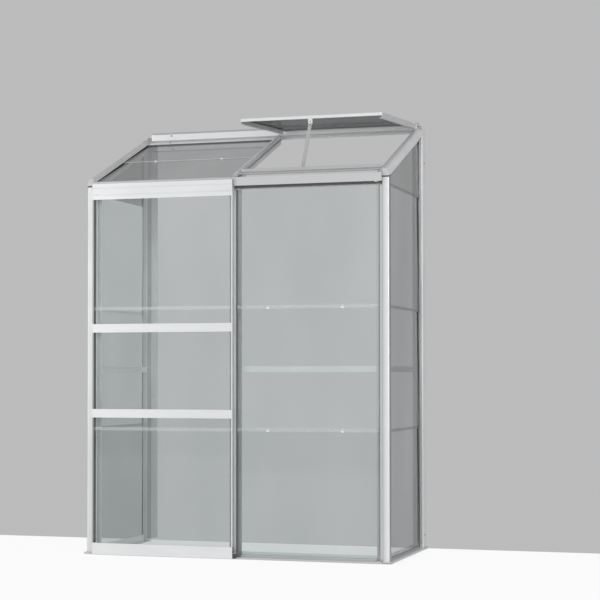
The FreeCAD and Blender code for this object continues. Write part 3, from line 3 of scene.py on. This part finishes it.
import bmesh
import bpy
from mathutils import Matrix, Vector


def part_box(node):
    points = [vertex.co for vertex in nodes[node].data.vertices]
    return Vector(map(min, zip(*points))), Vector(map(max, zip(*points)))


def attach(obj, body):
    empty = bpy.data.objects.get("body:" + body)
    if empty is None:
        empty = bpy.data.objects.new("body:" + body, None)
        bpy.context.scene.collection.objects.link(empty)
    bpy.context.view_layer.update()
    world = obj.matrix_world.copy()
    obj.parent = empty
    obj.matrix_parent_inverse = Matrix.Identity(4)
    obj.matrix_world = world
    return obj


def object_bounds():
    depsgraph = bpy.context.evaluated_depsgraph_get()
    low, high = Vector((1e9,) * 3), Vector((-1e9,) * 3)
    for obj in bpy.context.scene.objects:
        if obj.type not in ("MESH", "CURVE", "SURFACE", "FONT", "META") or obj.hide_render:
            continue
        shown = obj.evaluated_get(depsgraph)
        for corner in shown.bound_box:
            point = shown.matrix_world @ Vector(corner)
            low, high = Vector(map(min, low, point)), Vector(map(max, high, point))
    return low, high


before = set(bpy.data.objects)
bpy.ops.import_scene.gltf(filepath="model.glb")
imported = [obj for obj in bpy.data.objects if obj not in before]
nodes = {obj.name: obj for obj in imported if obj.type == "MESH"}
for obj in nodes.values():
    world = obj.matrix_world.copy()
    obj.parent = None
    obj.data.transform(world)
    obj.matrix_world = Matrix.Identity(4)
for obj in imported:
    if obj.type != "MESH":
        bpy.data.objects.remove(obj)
cad_box = [list(corner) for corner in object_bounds()]
scene = bpy.context.scene


# Camera

EYE = (2.30, -7.24925, 0.76)
YAW = math.radians(18.19)
PITCH = math.radians(1.34)
LENS = 105.54
SENSOR_WIDTH = 36.0
SHIFT_X = 0.100
SHIFT_Y = 0.0563

forward = Vector((-math.sin(YAW) * math.cos(PITCH), math.cos(YAW) * math.cos(PITCH), math.sin(PITCH)))
camera_data = bpy.data.cameras.new("camera")
camera_data.sensor_width = SENSOR_WIDTH
camera_data.lens = LENS
camera_data.shift_x = SHIFT_X
camera_data.shift_y = SHIFT_Y
camera = bpy.data.objects.new("camera", camera_data)
camera.location = EYE
camera.rotation_euler = forward.to_track_quat("-Z", "Y").to_euler()
scene.collection.objects.link(camera)
scene.camera = camera


# Directions, slopes and places on the object, in its own frame

LEFT = (-1.0, 0.0, 0.0)
RIGHT = (1.0, 0.0, 0.0)
FRONT = (0.0, -1.0, 0.0)
ROOF_SLOPE = math.radians(21.0)
VENT_SLOPE = math.radians(3.5)


def up_from(slope):
    """The way square out of a roof that rises towards the back."""
    return (0.0, -math.sin(slope), math.cos(slope))


def start_of(name, axis):
    """Where the box of a node starts along an axis."""
    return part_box(name)[0]["XYZ".index(axis)]


def end_of(name, axis):
    """Where the box of a node ends along an axis."""
    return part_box(name)[1]["XYZ".index(axis)]


# Steps that the materials share

# A Mix node's colour sockets, found by number because its sockets for numbers have the same names
MIX_FACTOR = 0
MIX_FIRST = 6
MIX_SECOND = 7
MIX_RESULT = 2


def new_material(name):
    material = bpy.data.materials.new(name)
    material.use_nodes = True
    material.node_tree.nodes.clear()
    return material, material.node_tree


def add(tree, kind, **values):
    """Adds a node and sets its sockets and settings by name."""
    node = tree.nodes.new(kind)
    for key, value in values.items():
        if key in node.inputs:
            node.inputs[key].default_value = value
        else:
            setattr(node, key, value)
    return node


def link(tree, source, target):
    tree.links.new(source, target)


def arithmetic(tree, operation, first, second=0.0, clamp=False):
    """One sum or product, where each side is a number or comes from a node."""
    node = add(tree, "ShaderNodeMath", operation=operation, use_clamp=clamp)
    for socket, value in zip(node.inputs, (first, second)):
        if isinstance(value, float):
            socket.default_value = value
        else:
            link(tree, value, socket)
    return node.outputs["Value"]


def product(tree, first, second):
    return arithmetic(tree, "MULTIPLY", first, second)


def size_of(tree, value):
    """A number without its sign."""
    return arithmetic(tree, "ABSOLUTE", value)


def ramp(tree, value, low, high, start=0.3, end=0.7):
    """Runs from low to high while the value runs from start to end, and is level beyond them."""
    node = add(tree, "ShaderNodeMapRange")
    node.inputs["From Min"].default_value = start
    node.inputs["From Max"].default_value = end
    node.inputs["To Min"].default_value = low
    node.inputs["To Max"].default_value = high
    link(tree, value, node.inputs["Value"])
    return node.outputs["Result"]


def stretched_noise(tree, scale, detail, turn=0.0):
    """Noise in metres of the object, with its own scale along each axis, turned about X."""
    place = add(tree, "ShaderNodeTexCoord")
    mapping = add(tree, "ShaderNodeMapping", vector_type="POINT", Rotation=(turn, 0.0, 0.0), Scale=scale)
    noise = add(tree, "ShaderNodeTexNoise", Scale=1.0, Detail=detail, Roughness=0.55)
    link(tree, place.outputs["Object"], mapping.inputs["Vector"])
    link(tree, mapping.outputs["Vector"], noise.inputs["Vector"])
    return noise.outputs["Fac"]


def coordinate(tree, axis):
    """Where a point lies along one axis of the object."""
    place = add(tree, "ShaderNodeTexCoord")
    split = add(tree, "ShaderNodeSeparateXYZ")
    link(tree, place.outputs["Object"], split.inputs["Vector"])
    return split.outputs[axis]


def facing(tree, direction):
    """How squarely a flat side looks in a direction, from -1 to 1."""
    geometry = add(tree, "ShaderNodeNewGeometry")
    node = add(tree, "ShaderNodeVectorMath", operation="DOT_PRODUCT")
    node.inputs[1].default_value = direction
    link(tree, geometry.outputs["True Normal"], node.inputs[0])
    return node.outputs["Value"]


def colour_between(tree, share, first, second):
    """A mix of two colours, each written as three numbers or made by nodes."""
    node = add(tree, "ShaderNodeMix", data_type="RGBA")
    link(tree, share, node.inputs[MIX_FACTOR])
    for place, colour in ((MIX_FIRST, first), (MIX_SECOND, second)):
        if isinstance(colour, tuple):
            node.inputs[place].default_value = (*colour, 1.0)
        else:
            link(tree, colour, node.inputs[place])
    return node.outputs[MIX_RESULT]


def scaled(tree, colour, amount):
    """A colour times a number, both made by nodes."""
    node = add(tree, "ShaderNodeVectorMath", operation="SCALE")
    link(tree, colour, node.inputs[0])
    link(tree, amount, node.inputs["Scale"])
    return node.outputs["Vector"]


def dimmed(colour, share):
    """A colour times a number, both written out."""
    return tuple(part * share for part in colour)


def bumped(tree, height, strength, distance):
    bump = add(tree, "ShaderNodeBump", Strength=strength, Distance=distance)
    link(tree, height, bump.inputs["Height"])
    return bump.outputs["Normal"]


def mixed_shader(tree, share, first, second):
    node = add(tree, "ShaderNodeMixShader")
    link(tree, share, node.inputs[0])
    link(tree, first, node.inputs[1])
    link(tree, second, node.inputs[2])
    return node.outputs["Shader"]


def finish_surface(tree, shader):
    output = add(tree, "ShaderNodeOutputMaterial")
    link(tree, shader, output.inputs["Surface"])


# Mill aluminium

PALE_METAL = (0.83, 0.835, 0.84)
DULL_METAL = (0.74, 0.745, 0.755)
LINES_SHARE = 0.45
SQUARE_ON = (0.80, 0.95)

# Scales of the fine lines and of the clouds, for extrusions that stand, that run from side to side
# and that run from front to back
UPRIGHT = ((900.0, 900.0, 6.0), (14.0, 14.0, 3.0))
ALONG_WALL = ((6.0, 900.0, 900.0), (3.0, 14.0, 14.0))
TO_WALL = ((900.0, 6.0, 900.0), (14.0, 3.0, 14.0))


def aluminium(name, grain, turn=0.0, share=1.0, faces=(), bands=()):
    """Mill aluminium: fine lines along the extrusion and a cloudy tone.

    The grain holds the scales of the lines and of the clouds, and the turn is the slope of the
    extrusion. The share dims all of it, which for some parts is painted shade. The faces are
    directions whose flat sides are darker, mostly as painted shade, each with its share, and some
    with limits: an axis and the range over which the darkening ends. The bands are changes of tone
    across the profile, most of them painted light and shade: an axis, where the change starts and
    ends, and the shares before and after it. Along X they are the same on both sides of the middle.
    """
    material, tree = new_material(name)
    line_scale, cloud_scale = grain
    lines = stretched_noise(tree, line_scale, detail=2.0, turn=turn)
    clouds = ramp(tree, stretched_noise(tree, cloud_scale, detail=4.0, turn=turn), 0.0, 1.0 - LINES_SHARE)
    wear = arithmetic(tree, "ADD", product(tree, lines, LINES_SHARE), clouds)
    tone = ramp(tree, wear, 0.0, 1.0, start=0.15, end=0.85)
    colour = colour_between(tree, tone, dimmed(PALE_METAL, share), dimmed(DULL_METAL, share))
    for direction, shade_share, *limits in faces:
        amount = ramp(tree, facing(tree, direction), 0.0, 1.0, *SQUARE_ON)
        for axis, start, end in limits:
            amount = product(tree, amount, ramp(tree, coordinate(tree, axis), 1.0, 0.0, start, end))
        colour = scaled(tree, colour, ramp(tree, amount, 1.0, shade_share, start=0.0, end=1.0))
    for axis, start, end, before, after in bands:
        spot = coordinate(tree, axis)
        if axis == "X":
            spot = size_of(tree, spot)
        colour = scaled(tree, colour, ramp(tree, spot, before, after, start, end))
    shader = add(tree, "ShaderNodeBsdfPrincipled", Metallic=0.45, IOR=1.5)
    link(tree, colour, shader.inputs["Base Color"])
    link(tree, ramp(tree, wear, 0.30, 0.46, start=0.1, end=0.9), shader.inputs["Roughness"])
    link(tree, bumped(tree, lines, strength=0.10, distance=0.0004), shader.inputs["Normal"])
    finish_surface(tree, shader.outputs["BSDF"])
    return material


# Bands and limits, by their distance from where the box of a node starts

SOFT_EDGE = 0.0006


def band(name, axis, start, end, before, after):
    """One change of tone."""
    origin = start_of(name, axis)
    return (axis, origin + start, origin + end, before, after)


def stripe(name, axis, start, end, share):
    """Two changes that make a stripe of another tone."""
    return (band(name, axis, start, start + SOFT_EDGE, 1.0, share),
            band(name, axis, end, end + SOFT_EDGE, 1.0, 1.0 / share))


def up_to(name, axis, distance):
    """Keeps the painted shade of a side to the part before a distance."""
    edge = start_of(name, axis) + distance
    return (axis, edge - SOFT_EDGE / 2, edge + SOFT_EDGE / 2)


def beyond(name, axis, distance):
    """Keeps the painted shade of a side to the part after a distance."""
    edge = start_of(name, axis) + distance
    return (axis, edge + SOFT_EDGE / 2, edge - SOFT_EDGE / 2)


# Upright extrusions: the posts, the sides of the door and the stay

# Painted shade on its outer side, and a touch darker all over
post_left = aluminium("aluminium_post_left", UPRIGHT, share=0.96, faces=((LEFT, 0.6),))

# Painted shade: a dark line before the nose, a shading across the nose that leaves it palest near its
# middle, and an outer side and edge in the shade
post_right = aluminium("aluminium_post_right", UPRIGHT, faces=((RIGHT, 0.5),),
                       bands=(*stripe("corner_post_right", "X", 0.0270, 0.0302, 0.62),
                              band("corner_post_right", "X", 0.0300, 0.0480, 0.74, 1.0),
                              band("corner_post_right", "X", 0.0520, 0.0580, 1.0, 0.7)))

# Painted shade: darker on its inner side, and more so behind its lips
wall_left = aluminium("aluminium_wall_left", UPRIGHT, share=0.92,
                      faces=((RIGHT, 0.72), (RIGHT, 0.76, beyond("wall_post_left", "Y", 0.03875))))

# Painted shade: a darker front face and a dark line near its outer edge
wall_right = aluminium("aluminium_wall_right", UPRIGHT, faces=((FRONT, 0.74),),
                       bands=stripe("wall_post_right", "X", 0.0460, 0.0550, 0.62))

# Painted shade: darker behind its front lips, and a little darker all over
centre = aluminium("aluminium_centre", UPRIGHT, share=0.80,
                   bands=(band("centre_post", "Y", 0.00725, 0.00825, 1.0, 0.66),))

# Painted shade on the door's stiles: the left one dark all over, the right one a little darker and more so
# on its right side
stile_left = aluminium("aluminium_stile_left", UPRIGHT, share=0.50)
stile_right = aluminium("aluminium_stile_right", UPRIGHT, share=0.92, faces=((RIGHT, 0.75),))
stay = aluminium("aluminium_stay", UPRIGHT, share=0.55)


# Extrusions from side to side: sills, beams, the rails of the door and the bars of the vent

along_wall = aluminium("aluminium_along_wall", ALONG_WALL)
gutter = aluminium("aluminium_gutter", ALONG_WALL, share=0.77)

# Painted shade: a dark crease where the vent sill's apron meets its upright part, which is darker, and
# darker faces square to the roof
CREASE = (0.0068, 0.0136)
CREASE_SHADE = 0.50
ABOVE_CREASE_SHADE = 0.84
curb = aluminium("aluminium_curb", ALONG_WALL, faces=((up_from(ROOF_SLOPE), 0.92),),
                 bands=(band("vent_sill", "Z", CREASE[0], CREASE[0] + SOFT_EDGE, 1.0, CREASE_SHADE),
                        band("vent_sill", "Z", CREASE[1], CREASE[1] + SOFT_EDGE,
                             1.0, ABOVE_CREASE_SHADE / CREASE_SHADE)))

# Darker in front of the glass, and paler behind it
sill = aluminium("aluminium_sill", ALONG_WALL,
                 bands=(band("front_sill", "Y", 0.03175, 0.03375, 0.72, 1.12),))

# Painted light along its foot, and painted shade above it
hinge_bar = aluminium("aluminium_hinge_bar", ALONG_WALL,
                      bands=(band("vent_hinge_bar", "Z", 0.01065, 0.01365, 1.2, 0.9),))

# Painted shadow: a dark line along the foot of its face
ridge = aluminium("aluminium_ridge", ALONG_WALL, bands=stripe("ridge_bar", "Z", 0.0153, 0.0219, 0.62))

# Painted shade: a dark upper edge and two shallow grooves, at shares of the rail's height
GROOVES = (0.27, 0.68)
GROOVE_REACH = 0.0035
rail_height = end_of("door_top_rail", "Z") - start_of("door_top_rail", "Z")
upper_edge = rail_height - GROOVE_REACH
rail_shade_bands = [band("door_top_rail", "Z", upper_edge, upper_edge + SOFT_EDGE, 1.0, 0.62)]
for part in GROOVES:
    middle = rail_height * part
    rail_shade_bands += stripe("door_top_rail", "Z", middle - GROOVE_REACH, middle + GROOVE_REACH, 0.94)
top_rail = aluminium("aluminium_top_rail", ALONG_WALL, bands=rail_shade_bands)


# Extrusions from front to back: side sills, rafters and the sides of the vent

to_wall = aluminium("aluminium_to_wall", TO_WALL)

# Dark outside, as high as its outer lip, and a little less so at the edge of its toe
SILL_LIP = 0.0160
SILL_TOE = 0.0083
sill_outside = up_to("side_sill_right", "Z", SILL_LIP)
side_sill = aluminium("aluminium_side_sill", TO_WALL,
                      faces=((RIGHT, 0.62, sill_outside),
                             (RIGHT, 0.66, sill_outside, beyond("side_sill_right", "Z", SILL_TOE))))

# Painted shade on the front ends of the rafters, and the left rafter a little darker all over
rafter_left = aluminium("aluminium_rafter_left", TO_WALL, turn=-ROOF_SLOPE, share=0.92,
                        faces=((FRONT, 0.75),))
rafter_right = aluminium("aluminium_rafter_right", TO_WALL, turn=-ROOF_SLOPE, faces=((FRONT, 0.75),))

# Painted shade beyond its rib
HALF_RIB = 0.0020
rafter_centre = aluminium("aluminium_rafter_centre", TO_WALL, turn=-ROOF_SLOPE,
                          faces=((FRONT, 0.75),),
                          bands=(("X", HALF_RIB, HALF_RIB + SOFT_EDGE, 1.0, 0.80),))

vent_sides = aluminium("aluminium_vent_sides", TO_WALL, turn=-VENT_SLOPE, share=0.76)


# Small moulded and plated parts

FINE_GRAIN = 300.0
GRAIN_DETAIL = 4.0
ROUGHNESS_SPREAD = 0.08
BLACK = ((0.035, 0.035, 0.037), (0.060, 0.060, 0.062))


def finish_grained(tree, colour, grain, smoothest, roughest, metallic=0.0):
    """Finishes a surface that has the grain in its roughness and height too."""
    shader = add(tree, "ShaderNodeBsdfPrincipled", Metallic=metallic, IOR=1.5)
    link(tree, colour, shader.inputs["Base Color"])
    link(tree, ramp(tree, grain, smoothest, roughest), shader.inputs["Roughness"])
    link(tree, bumped(tree, grain, strength=0.15, distance=0.0003), shader.inputs["Normal"])
    finish_surface(tree, shader.outputs["BSDF"])


def plain(name, light, dark, roughness, metallic=0.0, scale=FINE_GRAIN):
    """One colour with a fine grain."""
    material, tree = new_material(name)
    grain = stretched_noise(tree, (scale, scale, scale), GRAIN_DETAIL)
    colour = colour_between(tree, ramp(tree, grain, 0.0, 1.0), light, dark)
    finish_grained(tree, colour, grain, roughness - ROUGHNESS_SPREAD, roughness + ROUGHNESS_SPREAD, metallic)
    return material


# The mouldings on the posts, whose right feet are in the shade along the ground
PALE_FOOT = ((0.60, 0.61, 0.62), (0.68, 0.69, 0.70))
FOOT_SHADE = 0.45
GROUND_EDGE = (0.0035, 0.0050)
MIDDLE = (-0.1, 0.1)
HALF_HEIGHT = (0.70, 0.71)


def post_ends():
    """Pale feet under the posts and black caps on top of them."""
    material, tree = new_material("plastic_posts")
    grain = stretched_noise(tree, (FINE_GRAIN, FINE_GRAIN, FINE_GRAIN), GRAIN_DETAIL)
    tone = ramp(tree, grain, 0.0, 1.0)
    near_ground = ramp(tree, coordinate(tree, "Z"), 1.0, 0.0, *GROUND_EDGE)
    to_the_right = ramp(tree, coordinate(tree, "X"), 0.0, 1.0, *MIDDLE)
    shade = ramp(tree, product(tree, near_ground, to_the_right), 1.0, FOOT_SHADE, start=0.0, end=1.0)
    foot = scaled(tree, colour_between(tree, tone, *PALE_FOOT), shade)
    cap = colour_between(tree, tone, *BLACK)
    colour = colour_between(tree, ramp(tree, coordinate(tree, "Z"), 0.0, 1.0, *HALF_HEIGHT), foot, cap)
    finish_grained(tree, colour, grain, smoothest=0.40, roughest=0.55)
    return material


black_rubber = plain("rubber", (0.085, 0.086, 0.088), (0.120, 0.121, 0.123), 0.60, scale=500.0)
black_nylon = plain("nylon", *BLACK, 0.42)
grey_plastic = plain("plastic_grey", (0.36, 0.37, 0.38), (0.46, 0.47, 0.48), 0.45)
post_plastic = post_ends()
zinc = plain("zinc_plated", (0.30, 0.30, 0.31), (0.42, 0.42, 0.43), 0.36, metallic=0.8)
pale_zinc = plain("zinc_pale", (0.62, 0.62, 0.63), (0.72, 0.72, 0.73), 0.36, metallic=0.6)
pale_steel = plain("pale_steel", (0.84, 0.85, 0.86), (0.92, 0.93, 0.94), 0.40, metallic=0.3)


# Glass, with dirt between the lapped panes of the right bay

NEARLY_CLEAR = (0.930, 0.945, 0.942)
SLANT = (0.25, 0.60)
GREY_CUT = (0.58, 0.62, 0.61)
# The front panes' cut edges are paler: a painted highlight, where their edges catch the light
LIT_CUT = (0.82, 0.86, 0.85)
front_laps = (start_of("front_pane_middle", "Z"), start_of("front_pane_upper", "Z"))
lap_length = end_of("front_pane_lower", "Z") - start_of("front_pane_middle", "Z")
LAP_DIRT = 0.20
LAP_FADE = 0.0020


def glass(name, across, clean, dusty, shine=1.0, straight=None, cut_colour=GREY_CUT, laps=()):
    """A clear pane: a faint tint through its faces, partly painted shade, a thin film of dust and pale cut
    edges.

    Across is the way square through the pane. The straight tint, where there is one, is the colour
    along it, and deepens to the other two along a slanted way, which is a longer one through the
    glass. The laps are heights from which dirt lies between two panes, as high as they lap.
    """
    material, tree = new_material(name)
    smear = stretched_noise(tree, (3.0, 3.0, 1.2), detail=5.0)
    tint = colour_between(tree, ramp(tree, smear, 0.0, 1.0), dusty, clean)
    if straight:
        weight = add(tree, "ShaderNodeLayerWeight", Blend=0.5)
        slanted = ramp(tree, weight.outputs["Facing"], 0.0, 1.0, *SLANT)
        tint = colour_between(tree, slanted, straight, tint)
    clear = add(tree, "ShaderNodeBsdfTransparent")
    link(tree, tint, clear.inputs["Color"])
    gloss = add(tree, "ShaderNodeBsdfAnisotropic", Color=(shine, shine, shine, 1.0))
    link(tree, ramp(tree, smear, 0.02, 0.06), gloss.inputs["Roughness"])
    fresnel = add(tree, "ShaderNodeFresnel", IOR=1.5)
    behind = add(tree, "ShaderNodeNewGeometry").outputs["Backfacing"]
    outside = arithmetic(tree, "SUBTRACT", fresnel.outputs["Fac"], behind, clamp=True)
    pane = mixed_shader(tree, outside, clear.outputs["BSDF"], gloss.outputs["BSDF"])
    film = ramp(tree, smear, 0.01, 0.05)
    for height in laps:
        reach = lap_length / 2
        distance = size_of(tree, arithmetic(tree, "SUBTRACT", coordinate(tree, "Z"), height + reach))
        dirt = ramp(tree, distance, LAP_DIRT, 0.0, start=reach, end=reach + LAP_FADE)
        film = arithmetic(tree, "ADD", film, dirt)
    dust = add(tree, "ShaderNodeBsdfDiffuse", Color=(0.80, 0.82, 0.82, 1.0))
    dusty_pane = mixed_shader(tree, film, pane, dust.outputs["BSDF"])
    cut = add(tree, "ShaderNodeBsdfPrincipled", Roughness=0.25, IOR=1.5)
    cut.inputs["Base Color"].default_value = (*cut_colour, 1.0)
    edge = ramp(tree, size_of(tree, facing(tree, across)), 1.0, 0.0, start=0.5, end=0.7)
    finish_surface(tree, mixed_shader(tree, edge, dusty_pane, cut.outputs["BSDF"]))
    return material


# Tints, partly the glass's own and partly painted shade: darker on the lower front and left panes and on the
# side, gable and roof panes, for the shade seen through them, and darkest on the vent, whose gloss is dimmed
# too, for the shade under it
front_tints_and_shade = {"upper": ((0.965, 0.978, 0.974), (0.935, 0.952, 0.948)),
               "middle": ((0.942, 0.960, 0.957), (0.912, 0.934, 0.930)),
               "lower": ((0.890, 0.912, 0.910), (0.860, 0.886, 0.884))}
left_tints_and_shade = {"upper": ((0.950, 0.962, 0.962), (0.900, 0.914, 0.914)),
              "middle": ((0.900, 0.914, 0.914), (0.850, 0.866, 0.866)),
              "lower": ((0.800, 0.816, 0.818), (0.750, 0.766, 0.768))}
right_tints_and_shade = ((0.750, 0.766, 0.766), (0.690, 0.706, 0.706))
gable_tints_and_shade = ((0.665, 0.679, 0.677), (0.615, 0.631, 0.629))
roof_tints_and_shade = ((0.750, 0.766, 0.764), (0.700, 0.716, 0.714))
vent_tints_and_shade = ((0.620, 0.630, 0.630), (0.560, 0.570, 0.570))
front_glass = {}
left_glass = {}
for level in front_tints_and_shade:
    front_glass[level] = glass("glass_front_" + level, FRONT, *front_tints_and_shade[level],
                               cut_colour=LIT_CUT, laps=front_laps)
    left_glass[level] = glass("glass_left_" + level, RIGHT, *left_tints_and_shade[level], straight=NEARLY_CLEAR)
right_glass = glass("glass_right", RIGHT, *right_tints_and_shade, shine=0.8, straight=NEARLY_CLEAR)
gable_glass = glass("glass_gable", RIGHT, *gable_tints_and_shade, shine=0.8, straight=NEARLY_CLEAR)
roof_glass = glass("glass_roof", up_from(ROOF_SLOPE), *roof_tints_and_shade, shine=0.9, straight=NEARLY_CLEAR)
vent_glass = glass("glass_vent", up_from(VENT_SLOPE), *vent_tints_and_shade, shine=0.25, straight=NEARLY_CLEAR)


# What each node is made of

looks = {
    "corner_post_left": post_left, "corner_post_right": post_right, "centre_post": centre,
    "wall_post_left": wall_left, "wall_post_right": wall_right, "post_end_caps": post_plastic,
    "front_sill": sill, "eaves_beam": gutter, "ridge_bar": ridge, "front_mid_bar": along_wall,
    "side_sill_left": to_wall, "side_sill_right": side_sill, "side_mid_bar_left": to_wall,
    "side_mid_bar_right": to_wall, "end_rafter_left": rafter_left, "end_rafter_right": rafter_right,
    "centre_rafter": rafter_centre, "frame_bolts": zinc,
    "glazing_strips": black_rubber, "lap_clips": pale_steel,
    "roof_pane_lower": roof_glass, "roof_pane_upper": roof_glass,
    "door_stile_left": stile_left, "door_stile_right": stile_right, "door_top_rail": top_rail,
    "door_rail_upper": along_wall, "door_rail_lower": along_wall, "door_bottom_rail": along_wall,
    "door_glazing_strips": black_rubber, "door_screws": pale_zinc, "door_stop": along_wall,
    "door_top_guides": black_nylon, "door_wheel_carriers": black_nylon, "door_wheel_axles": zinc,
    "door_wheel_left": grey_plastic, "door_wheel_right": grey_plastic,
    "vent_sill": curb, "vent_hinge_bar": hinge_bar, "vent_front_bar": along_wall,
    "vent_side_bar_left": vent_sides, "vent_side_bar_right": vent_sides, "vent_pane": vent_glass,
    "stay_arm": stay, "stay_bracket": along_wall, "stay_peg": along_wall, "stay_bolt": zinc,
}


def look_of(name):
    """The material of a node, which for most panes comes from the words of its name."""
    words = name.split("_")
    if words[:2] in (["front", "pane"], ["door", "pane"]):
        return front_glass[words[2]]
    if words[:2] == ["side", "pane"]:
        return left_glass[words[2]] if words[3] == "left" else right_glass
    if words[:2] == ["gable", "pane"]:
        return gable_glass
    return looks[name]


for name, node in nodes.items():
    node.data.materials.clear()
    node.data.materials.append(look_of(name))


# Rubber beads that show beside the lips of the posts, in front of the panes of the right bay

BEAD_FRONT = 0.0121
BEAD_REAR = 0.0136
BEAD_GAP = 0.0010
ARC_STEPS = 6
post_front = start_of("corner_post_right", "Y")
bead_foot = end_of("front_sill", "Z") + BEAD_GAP
bead_top = start_of("eaves_beam", "Z") - BEAD_GAP


def bead(name, near, far):
    """An upright bead with its round edge at the far side."""
    front = post_front + BEAD_FRONT
    rear = post_front + BEAD_REAR
    middle = (front + rear) / 2
    radius = (rear - front) / 2
    sign = 1.0 if far > near else -1.0
    outline = [(near, front), (near, rear)]
    for step in range(ARC_STEPS + 1):
        turn = math.pi / 2 - math.pi * step / ARC_STEPS
        outline.append((far - sign * radius * (1.0 - math.cos(turn)), middle + radius * math.sin(turn)))
    count = len(outline)
    points = [(x, y, z) for z in (bead_foot, bead_top) for x, y in outline]
    sides = [(i, (i + 1) % count, count + (i + 1) % count, count + i) for i in range(count)]
    ends = [tuple(reversed(range(count))), tuple(range(count, 2 * count))]
    mesh = bpy.data.meshes.new(name)
    mesh.from_pydata(points, [], sides + ends)
    shaped = bmesh.new()
    shaped.from_mesh(mesh)
    bmesh.ops.recalc_face_normals(shaped, faces=shaped.faces)
    shaped.to_mesh(mesh)
    shaped.free()
    mesh.materials.append(black_rubber)
    piece = bpy.data.objects.new(name, mesh)
    scene.collection.objects.link(piece)
    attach(piece, "frame")


bead("bead_centre_post", near=0.0052, far=0.0105)
bead("bead_right_post", near=0.6186, far=0.6150)


# Floor, which ends at the back of the object

FLOOR_REACH = 6.0
FLOOR_FRONT = -9.0
FLOOR_LEVEL = -0.0005
FLOOR_WHITE = 0.92
FOOTPRINT_SHADE = 0.33
FOOTPRINT_SIDE = (0.60, 0.70)
FOOTPRINT_FADE = 0.10
floor_back = cad_box[1][1]


def seen_directly(tree):
    """One for rays from the camera, also by glass or gloss, and nought for the light on the object."""
    light_path = add(tree, "ShaderNodeLightPath")
    seen = light_path.outputs["Is Camera Ray"]
    for other in ("Is Transmission Ray", "Is Glossy Ray"):
        seen = arithmetic(tree, "MAXIMUM", seen, light_path.outputs[other])
    return seen


def floor_material():
    """A pale floor that is seen nearly white, with a painted shade inside the greenhouse."""
    material, tree = new_material("floor")
    grain = stretched_noise(tree, (1.5, 1.5, 1.5), detail=3.0)
    shader = add(tree, "ShaderNodeBsdfPrincipled", Roughness=0.8, IOR=1.3)
    link(tree, colour_between(tree, grain, (0.86, 0.86, 0.86), (0.92, 0.92, 0.92)),
         shader.inputs["Base Color"])
    white = add(tree, "ShaderNodeEmission", Color=(1.0, 1.0, 1.0, 1.0), Strength=1.0)
    front = cad_box[0][1]
    across = ramp(tree, size_of(tree, coordinate(tree, "X")), FOOTPRINT_SHADE, 0.0, *FOOTPRINT_SIDE)
    along = ramp(tree, coordinate(tree, "Y"), 0.0, 1.0, start=front, end=front + FOOTPRINT_FADE)
    white_share = arithmetic(tree, "SUBTRACT", FLOOR_WHITE, product(tree, across, along))
    share = product(tree, seen_directly(tree), white_share)
    finish_surface(tree, mixed_shader(tree, share, shader.outputs["BSDF"], white.outputs["Emission"]))
    return material


corners = [(-FLOOR_REACH, FLOOR_FRONT), (FLOOR_REACH, FLOOR_FRONT),
           (FLOOR_REACH, floor_back), (-FLOOR_REACH, floor_back)]
floor_mesh = bpy.data.meshes.new("floor")
floor_mesh.from_pydata([(x, y, FLOOR_LEVEL) for x, y in corners], [], [(0, 1, 2, 3)])
floor = bpy.data.objects.new("floor", floor_mesh)
floor_mesh.materials.append(floor_material())
scene.collection.objects.link(floor)


# World: soft light on the object, and a plain colour behind it

world = bpy.data.worlds.new("studio")
scene.world = world
world.use_nodes = True
tree = world.node_tree
tree.nodes.clear()
ambient = add(tree, "ShaderNodeBackground", Color=(1.0, 1.0, 1.0, 1.0), Strength=0.40)
backdrop = add(tree, "ShaderNodeBackground", Color=(0.50, 0.50, 0.505, 1.0), Strength=1.0)
surroundings = mixed_shader(tree, seen_directly(tree), ambient.outputs["Background"],
                            backdrop.outputs["Background"])
world_output = add(tree, "ShaderNodeOutputWorld")
link(tree, surroundings, world_output.inputs["Surface"])


# Lamps, all aimed at the middle of the object

LAMP_AIM = Vector((0.0, 0.0, 0.8))


def area_lamp(name, place, size, power):
    data = bpy.data.lights.new(name, "AREA")
    data.shape = "RECTANGLE"
    data.size, data.size_y = size
    data.energy = power
    lamp = bpy.data.objects.new(name, data)
    lamp.location = place
    lamp.rotation_euler = (LAMP_AIM - Vector(place)).to_track_quat("-Z", "Y").to_euler()
    scene.collection.objects.link(lamp)


area_lamp("key", place=(3.1, -6.8, 2.2), size=(3.4, 3.0), power=206.0)
area_lamp("side", place=(6.2, -2.2, 2.2), size=(3.0, 3.0), power=62.0)
area_lamp("fill", place=(-4.4, -5.4, 2.0), size=(3.0, 3.0), power=64.0)

scene.view_settings.view_transform = "Standard"
